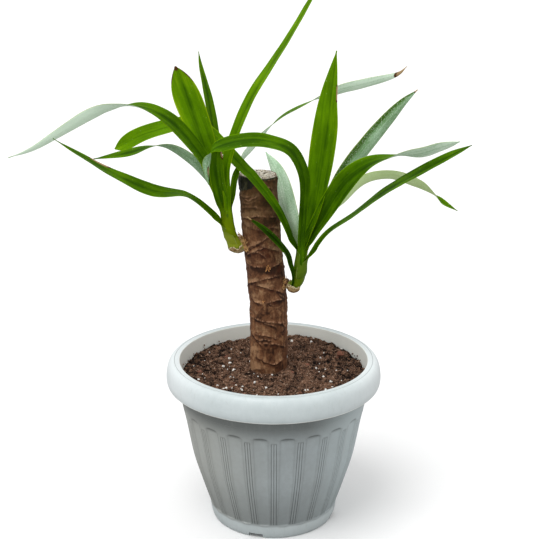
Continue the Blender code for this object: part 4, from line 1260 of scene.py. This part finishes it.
# A route gives x, y and z of the midrib, and how far the blade is turned about it from facing
# the front: 0 shows the upper side, 90 the edge, with the face up, and 180 the underside.
LEFT_LEAVES = {
    "lowest": dict(width=18, tone=0.43, midrib=0.06, bloom=0.1,
                   sear=[(0.78, 0.9, 0.05, 0.3, 1.0)], route=[
        (-47, 1, 338, 10), (-57, -6, 356, 30), (-69, -15, 376, 52), (-95, -40, 403, 68),
        (-130, -72, 417, 42), (-169, -102, 444, 60), (-204, -124, 472, 62),
        (-219, -132, 484, 62)]),
    "long_arch": dict(width=21, widest=0.45, tone=0.44, bloom=1.2, route=[
        (-48, -1, 346, 20), (-60, -14, 396, 35), (-75, -25, 438, 42), (-105, -44, 481, 42),
        (-134, -66, 503, 62), (-164, -88, 507, 102), (-191, -104, 500, 130),
        (-239, -122, 473, 132), (-265, -130, 464, 125)]),
    "short_arch": dict(width=22, widest=0.42, tone=0.4, bloom=0.4, route=[
        (-50, -1, 350, 150), (-62, -4, 393, 128), (-76, -7, 420, 122), (-105, -13, 446, 113),
        (-129, -18, 452, 85), (-161, -24, 445, 42), (-195, -30, 440, 38)]),
    "broad": dict(width=31, widest=0.7, base=0.32, taper=3.7, tone=0.56, midrib=0.15,
                  sear=[(1.02, 0.0, 0.04, 1.2, 0.6), (0.95, 1.0, 0.06, 0.1, 0.5),
                        (0.96, -1.0, 0.05, 0.1, 0.5)], route=[
        (-49, -2, 349, 25), (-58, -9, 392, 20), (-75, -14, 452, 32), (-81, -13, 471, 30),
        (-94, -8, 503, 8), (-107, 2, 535, 0)]),
    "narrow_back": dict(width=15, widest=0.6, tone=0.44, bloom=0.3, route=[
        (-50, -1, 351, 20), (-59, 10, 409, 35), (-71, 28, 487, 50), (-81, 44, 527, 50),
        (-84, 51, 544, 50)]),
    "tallest": dict(width=15.5, widest=0.45, tone=0.56, route=[
        (-50, -3, 350, 0), (-52, -14, 396, 0), (-53, -18, 428, 20), (-42.5, -20, 466, 42),
        (-26, -16, 504, 45), (1, -4, 545, 55), (18, 4, 570, 55), (62, 32, 642, 50)]),
    "front": dict(width=18, base=0.75, taper=4.0, tone=0.43, bloom=0.1,
                  sear=[(0.84, 1.0, 0.05, 0.25, 1.0)], route=[
        (-50, -4, 352, 20), (-54.5, -12, 378, 25), (-59.5, -19, 402, 30), (-62, -25, 420, 30),
        (-62.5, -28, 438, 30), (-61.5, -35, 452, 30), (-60, -38, 460, 30)]),
    "long_thin": dict(width=14, widest=0.6, base=0.38, taper=3.5, bloom=0.9,
                      sear=[(0.985, 0.0, 0.045, 1.5, 1.0)], route=[
        (-50, -2, 352, 10), (-46, -1, 392, 10), (-43, 2, 413, 15), (-35, 6, 432, 115),
        (-24, 11, 445, 130), (5, 28, 472, 78), (37, 46, 487, 78), (72, 66, 498, 128),
        (103, 82, 503, 138), (142, 100, 510, 150), (156, 107, 519, 150)]),
}
RIGHT_LEAVES = {
    "tall_broad": dict(width=30, widest=0.55, base=0.3, tone=0.39, glow=0.18, midrib=0.07,
                       sear=[(0.82, 0.95, 0.035, 0.12, 1.0)], route=[
        (29, 3, 300, 20), (33, 0, 334, 40), (45, -7, 388, 35), (55, -8, 462, 20),
        (59, -1, 501, 30), (68, 14, 550, 35)]),
    "behind": dict(width=22, widest=0.55, bloom=0.7, route=[
        (29, 5, 304, 145), (27, 17, 340, 135), (16, 38, 372, 152), (5, 58, 404, 163),
        (-9, 76, 424, 170)]),
    "front_arch": dict(width=20.5, widest=0.6, base=0.38, taper=2.8, tone=0.38, midrib=0.06,
                       bloom=0.4, sear=[(0.955, 0.5, 0.02, 0.3, 0.8)], route=[
        (29, -1, 305, 5), (32, -16, 368, 42), (33, -34, 419, 45), (19, -51, 453, 45),
        (-6, -64, 467, 42), (-32, -71, 469.5, 35), (-56, -75, 464.5, 30), (-65, -76, 459, 75),
        (-71, -77, 445, 150), (-69, -79, 424, 160)]),
    "crossing": dict(width=21, widest=0.86, base=0.34, taper=4.5, tone=0.3, glow=0.29, midrib=0.05,
                     route=[
        (28, 1, 305, 30), (24, -3, 329, 35), (6, -14, 377, 35), (-21, -13, 414, 35),
        (-34, -8, 426, 30), (-65, 5.5, 456, 35), (-82, 12.5, 468, 40), (-100, 19, 470, 40),
        (-147, 32, 455, 30), (-181, 42, 435, 15)]),
    "small": dict(width=9, base=0.7, wrap=0.2, tone=0.14, bloom=0.1,
                  sear=[(1.0, 0.0, 0.06, 1.5, 1.0)], route=[
        (21, -1, 284, 10), (21.5, -4, 297, 25), (19, -8, 312, 40), (14, -14, 330, 45),
        (-7, -20, 355, 25), (-30, -18, 372, 10)]),
    "wide_low": dict(width=25, widest=0.4, taper=6.0, tone=0.38, bloom=0.85, route=[
        (32, 0, 306, 30), (36.5, -4, 335, 30), (49, -11, 364, 30), (75, -32, 413, 30),
        (98, -48, 438, 52), (123, -64, 450, 82), (151, -80, 458, 115), (169, -89, 466, 126),
        (188, -100, 474, 138)]),
    "back": dict(width=21, widest=0.55, taper=2.6, bloom=0.45, green_edge=1.0,
                 sear=[(1.0, 0.0, 0.02, 1.5, 1.0)], route=[
        (32, 3, 304, 155), (38, 11, 330, 155), (49, 23, 350, 155), (79, 55, 399, 150),
        (109.5, 82, 433, 152), (147, 106, 471, 160), (171, 122, 489, 160)]),
    "pale_arch": dict(width=18, taper=3.4, pale=1.0, bloom=0.8, route=[
        (32, 2, 306, 20), (43, 8, 340, 45), (53, 11, 353, 70), (63, 16, 366, 105),
        (77, 23, 380, 125), (103, 38, 400, 125), (136, 54, 402, 120), (169, 68, 388, 122),
        (189, 76, 373, 92), (202, 80, 362.5, 38), (220, 86, 350, 25)]),
    "lowest": dict(width=15.5, widest=0.7, base=0.36, taper=3.0, tone=0.38, route=[
        (32.5, 1, 296, 10), (37, -3, 311, 15), (42.5, -7, 323.5, 25), (49.5, -12, 340, 45),
        (62, -20, 357, 58), (88, -38, 381.5, 68), (119, -62, 414, 62), (164, -98, 451.5, 55),
        (196, -126, 476, 45)]),
}


def blade_share(share, leaf):
    """Blade width along a strap leaf: narrow at its base, widest part way, then a long taper."""
    if share < leaf["widest"]:
        t = share / leaf["widest"]
        return leaf["base"] + (1.0 - leaf["base"]) * t * t * (3.0 - 2.0 * t)
    t = (share - leaf["widest"]) / (1.0 - leaf["widest"])
    return max(0.06, 1.0 - t ** leaf["taper"])


def stem_at(stem_route, z):
    """Middle and radius of a stem at a height."""
    found = stem_route[-1]
    for low, high in zip(stem_route, stem_route[1:]):
        if low.z <= z <= high.z:
            found = low.lerp(high, (z - low.z) / (high.z - low.z))
    return found


def blade_frames(route, side):
    """The directions towards the edge and up from the upper side, for each row of a blade."""
    frames = []
    last = len(route) - 1
    for row, point in enumerate(route):
        along = (route[min(row + 1, last)].xyz - route[max(row - 1, 0)].xyz).normalized()
        across = along.cross(FRONT).normalized() * side
        face = (across.cross(along) * side).normalized()
        turn = math.radians(point.w)
        edge = across * math.cos(turn) + face * math.sin(turn)
        frames.append((edge, edge.cross(along) * side))
    return frames


LEAF_LAYERS = ("across", "foot", "tone", "pale", "bloom", "midrib", "sear")


def leaf_values(leaf, yellowing, across, share, reach):
    """What the leaf's materials read at one of its points, in the order of LEAF_LAYERS."""
    sear = 0.0
    for at, middle, length, width, depth in leaf["sear"]:
        off = ((share - at) / length) ** 2 + ((across - middle) / width) ** 2
        sear = max(sear, depth * clamp(1.6 - off))
    foot = yellowing * clamp(1.0 - reach / 75.0)
    bloom = leaf["bloom"] - 0.6 * clamp(2.5 * (leaf["green_edge"] * across - 0.2))
    bloom -= clamp(1.2 - reach / 25.0)
    return (across, foot, leaf["tone"] + leaf["glow"] * share, leaf["pale"], bloom,
            leaf["midrib"], sear)


def blade(leaf, stem_route, yellowing, layer, seed):
    """One leaf: a flat grid laid along its route, its foot wrapped round the stem."""
    route = smooth_route(leaf["route"], BLADE_STEP)
    places = [point.xyz for point in route]
    reach = [0.0]
    for before, after in zip(places, places[1:]):
        reach.append(reach[-1] + (after - before).length)
    side = 1.0 if places[-1].x > places[0].x else -1.0
    frames = blade_frames(route, side)
    free = min(row for row in range(len(route)) if reach[row] > 0.9 * WRAP_END)
    away = (places[free] - stem_at(stem_route, places[free].z).xyz).xy
    outward = math.atan2(away.y, away.x)
    tangent = Vector((-away.y, away.x, 0.0))
    sense = 1.0 if (frames[free][0] * side).dot(tangent) > 0.0 else -1.0
    bm = bmesh.new()
    layers = [bm.verts.layers.float.new(name) for name in LEAF_LAYERS]
    thickness = bm.verts.layers.deform.verify()
    flat = bm.loops.layers.uv.new("UVMap")
    for vert, t, row in grid_rows(bm, BLADE_COLUMNS, len(route) - 1):
        share = reach[row] / reach[-1]
        edge, up = frames[row]
        half = leaf["width"] / 2 * blade_share(share, leaf)
        channel = CHANNEL * abs(math.cos(math.radians(route[row].w)))
        clasp = CLASP * clamp(1.0 - share / 0.4)
        dip = half * 2.0 * (channel + clasp) * (1.0 - abs(t) ** 1.6)
        wave = 0.5 * noise.noise(Vector((reach[row] / 21.0, t * 1.5, seed))) * abs(t)
        spread = places[row] + edge * half * t * side - up * (dip - wave)
        stem = stem_at(stem_route, places[row].z - 3.0 * abs(t))
        angle = outward + sense * t * WRAP_TURN
        lift = stem.w + layer * clamp(reach[row] / 7.0) - 0.5
        hug = stem.xyz + Vector((math.cos(angle), math.sin(angle), 0.0)) * lift
        wrap = clamp((WRAP_END - reach[row]) / (WRAP_END - WRAP_FULL))
        vert.co = spread.lerp(hug, wrap * wrap * (3.0 - 2.0 * wrap) * leaf["wrap"])
        vert[thickness][0] = (1.0 - 0.62 * abs(t) ** 3) * (1.0 - 0.3 * share)
        values = leaf_values(leaf, yellowing, t, share, reach[row])
        for carried, value in zip(layers, values):
            vert[carried] = value
        for loop in vert.link_loops:
            loop[flat].uv = (half * t / 100.0 + 0.5, reach[row] / 100.0)
    return bm


def make_veins():
    """Parallel veins from a leaf's own UV map: fine lines, broad streaks and blotches."""
    group = bpy.data.node_groups.new("veins", "ShaderNodeTree")
    group.interface.new_socket("Flat", in_out="INPUT", socket_type="NodeSocketVector")
    for name in ("Lines", "Streaks", "Blotches"):
        group.interface.new_socket(name, in_out="OUTPUT", socket_type="NodeSocketFloat")
    flat = group.nodes.new("NodeGroupInput").outputs["Flat"]
    out = group.nodes.new("NodeGroupOutput").inputs
    join(group, cloud(group, stretched(group, flat, (150.0, 1.3, 1.0)), 1.0, 2.0), out["Lines"])
    join(group, cloud(group, stretched(group, flat, (36.0, 1.0, 1.0)), 1.0, 3.0), out["Streaks"])
    join(group, cloud(group, stretched(group, flat, (9.0, 3.0, 1.0)), 1.0, 3.0), out["Blotches"])
    return group


VEINS = make_veins()


def leaf_parts(tree):
    """The veins, the values that each leaf carries on its points, and its flat map."""
    flat = add_node(tree, "TexCoord").outputs["UV"]
    veins = add_node(tree, "Group")
    veins.node_tree = VEINS
    join(tree, flat, veins.inputs["Flat"])
    return veins.outputs, {name: painted(tree, name) for name in LEAF_LAYERS}, flat


def dry_parts(tree, base, carried, blotches):
    """Brown, papery patches over a leaf's own colour, with a darker edge."""
    sear = sums(tree, "MULTIPLY_ADD", blotches, 0.7, carried["sear"])
    rim = blend(tree, ease(tree, sear, 0.55, 0.75), base, paint(84, 54, 28))
    return blend(tree, ease(tree, sear, 0.95, 1.25), rim, paint(176, 148, 108))


def make_upper_side():
    material, tree, shader = new_material("leaf_upper")
    veins, carried, flat = leaf_parts(tree)
    away = sums(tree, "ABSOLUTE", carried["across"])
    bright = sums(tree, "MULTIPLY_ADD", veins["Streaks"], 0.34, carried["tone"])
    bright = sums(tree, "MULTIPLY_ADD", veins["Lines"], 0.26, bright)
    bright = sums(tree, "MULTIPLY_ADD", veins["Blotches"], 0.5, bright)
    bright = sums(tree, "SUBTRACT", bright, 0.55)
    # Painted shade down the middle of the channel.
    rib = sums(tree, "MULTIPLY", ease(tree, away, 0.42, 0.0), carried["midrib"])
    bright = sums(tree, "SUBTRACT", bright, rib)
    bright = sums(tree, "MULTIPLY_ADD", ease(tree, away, 0.9, 0.99), 0.26, bright)
    base = grade(tree, bright, (0.0, paint(26, 46, 0)), (0.3, paint(54, 90, 0)),
                 (0.6, paint(96, 140, 0)), (1.0, paint(164, 190, 30)))
    base = coat(tree, base, ease(tree, carried["foot"], 0.45, 1.0), 0.75, paint(126, 142, 16))
    flecks = cloud(tree, stretched(tree, flat, (90.0, 45.0, 1.0)), 1.0, 1.0)
    base = coat(tree, base, ease(tree, flecks, 0.72, 0.78), 0.5, paint(170, 200, 110))
    base = dry_parts(tree, base, carried, veins["Blotches"])
    set_surface(tree, shader, base, sums(tree, "MULTIPLY_ADD", veins["Lines"], 0.2, 0.36), 0.03,
                bump(tree, veins["Lines"], 0.0006, 0.8))
    return material


def make_underside():
    material, tree, shader = new_material("leaf_underside")
    veins, carried, flat = leaf_parts(tree)
    away = sums(tree, "ABSOLUTE", carried["across"])
    grain = cloud(tree, stretched(tree, flat, (110.0, 50.0, 1.0)), 1.0, 4.0, 0.75)
    bloom = sums(tree, "MULTIPLY_ADD", veins["Streaks"], 0.5, carried["bloom"])
    bloom = sums(tree, "MULTIPLY_ADD", veins["Lines"], 0.35, bloom)
    bloom = sums(tree, "MULTIPLY_ADD", veins["Blotches"], 0.7, bloom)
    bloom = sums(tree, "MULTIPLY_ADD", grain, 1.1, bloom)
    base = grade(tree, sums(tree, "SUBTRACT", bloom, 1.25), (0.0, paint(60, 96, 20)),
                 (0.35, paint(112, 152, 100)), (0.7, paint(170, 206, 168)),
                 (1.0, paint(226, 250, 224)))
    base = coat(tree, base, carried["pale"], 0.75, paint(204, 230, 142))
    flecks = cloud(tree, stretched(tree, flat, (130.0, 70.0, 1.0)), 1.0, 1.0)
    base = coat(tree, base, ease(tree, flecks, 0.6, 0.68), 0.6, paint(240, 248, 236))
    sheath = blend(tree, ease(tree, carried["foot"], 0.6, 1.0), paint(88, 114, 20),
                   paint(140, 152, 40))
    base = blend(tree, ease(tree, carried["foot"], 0.05, 0.4), base, sheath)
    base = coat(tree, base, ease(tree, away, 0.9, 0.99), 0.7, paint(176, 190, 104))
    base = dry_parts(tree, base, carried, veins["Blotches"])
    set_surface(tree, shader, base, 0.6, 0.15, bump(tree, veins["Lines"], 0.0005, 0.7))
    return material


UPPER_SIDE = make_upper_side()
UNDERSIDE = make_underside()
for side_name, leaves in (("left", LEFT_LEAVES), ("right", RIGHT_LEAVES)):
    by_start = sorted(leaves, key=lambda key: -leaves[key]["route"][0][2])
    for number, (leaf_name, own_values) in enumerate(leaves.items()):
        layer = 0.7 + 0.12 * by_start.index(leaf_name)
        bm = blade({**PLAIN_LEAF, **own_values}, STEM_ROUTES[side_name],
                   SHOOT_STEMS[side_name]["yellowing"], layer, number + len(side_name))
        piece = put_piece(side_name + "_leaf_" + leaf_name, bm, UPPER_SIDE, UNDERSIDE)
        piece.vertex_groups.new(name="thickness")
        solid = piece.modifiers.new("Thickness", "SOLIDIFY")
        solid.thickness = BLADE_THICKNESS * MM
        solid.offset = 0.0
        solid.vertex_group = "thickness"
        solid.material_offset = 1
        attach(piece, "root")
        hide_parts(side_name + "_shoot")

# The studio: a pale floor under the pot, an even white surround, and one soft light high up.
# The floor and the light are not part of the plant.
FLOOR_SIZE = 14.0
floor_grid = bmesh.new()
bmesh.ops.create_grid(floor_grid, x_segments=1, y_segments=1, size=FLOOR_SIZE)
floor = bpy.data.objects.new("floor", to_mesh(floor_grid, "floor"))
material, tree, shader = new_material("floor_paint")
shader.inputs["Roughness"].default_value = 0.9
seen = add_node(tree, "LightPath").outputs["Is Camera Ray"]
join(tree, blend(tree, seen, (0.4, 0.4, 0.4, 1.0), (0.95, 0.95, 0.95, 1.0)),
     shader.inputs["Base Color"])
floor.data.materials.append(material)
bpy.context.scene.collection.objects.link(floor)

sky = bpy.data.worlds.new("studio")
sky.use_nodes = True
backdrop = sky.node_tree.nodes["Background"]
backdrop.inputs["Color"].default_value = (1.0, 1.0, 1.0, 1.0)
seen = add_node(sky.node_tree, "LightPath").outputs["Is Camera Ray"]
join(sky.node_tree, sums(sky.node_tree, "MULTIPLY_ADD", seen, 0.15, 0.85),
     backdrop.inputs["Strength"])
bpy.context.scene.world = sky
bpy.context.scene.view_settings.view_transform = "Standard"


def add_soft_sun(name, toward, strength, spread):
    """A lamp as even as daylight through a blind, which shines from a direction."""
    light = bpy.data.lights.new(name, "SUN")
    light.energy = strength
    light.angle = math.radians(spread)
    lamp = bpy.data.objects.new(name, light)
    lamp.rotation_euler = Vector(toward).to_track_quat("Z", "Y").to_euler()
    bpy.context.scene.collection.objects.link(lamp)


add_soft_sun("overhead", (-0.3, -0.35, 1.0), 1.4, 35.0)
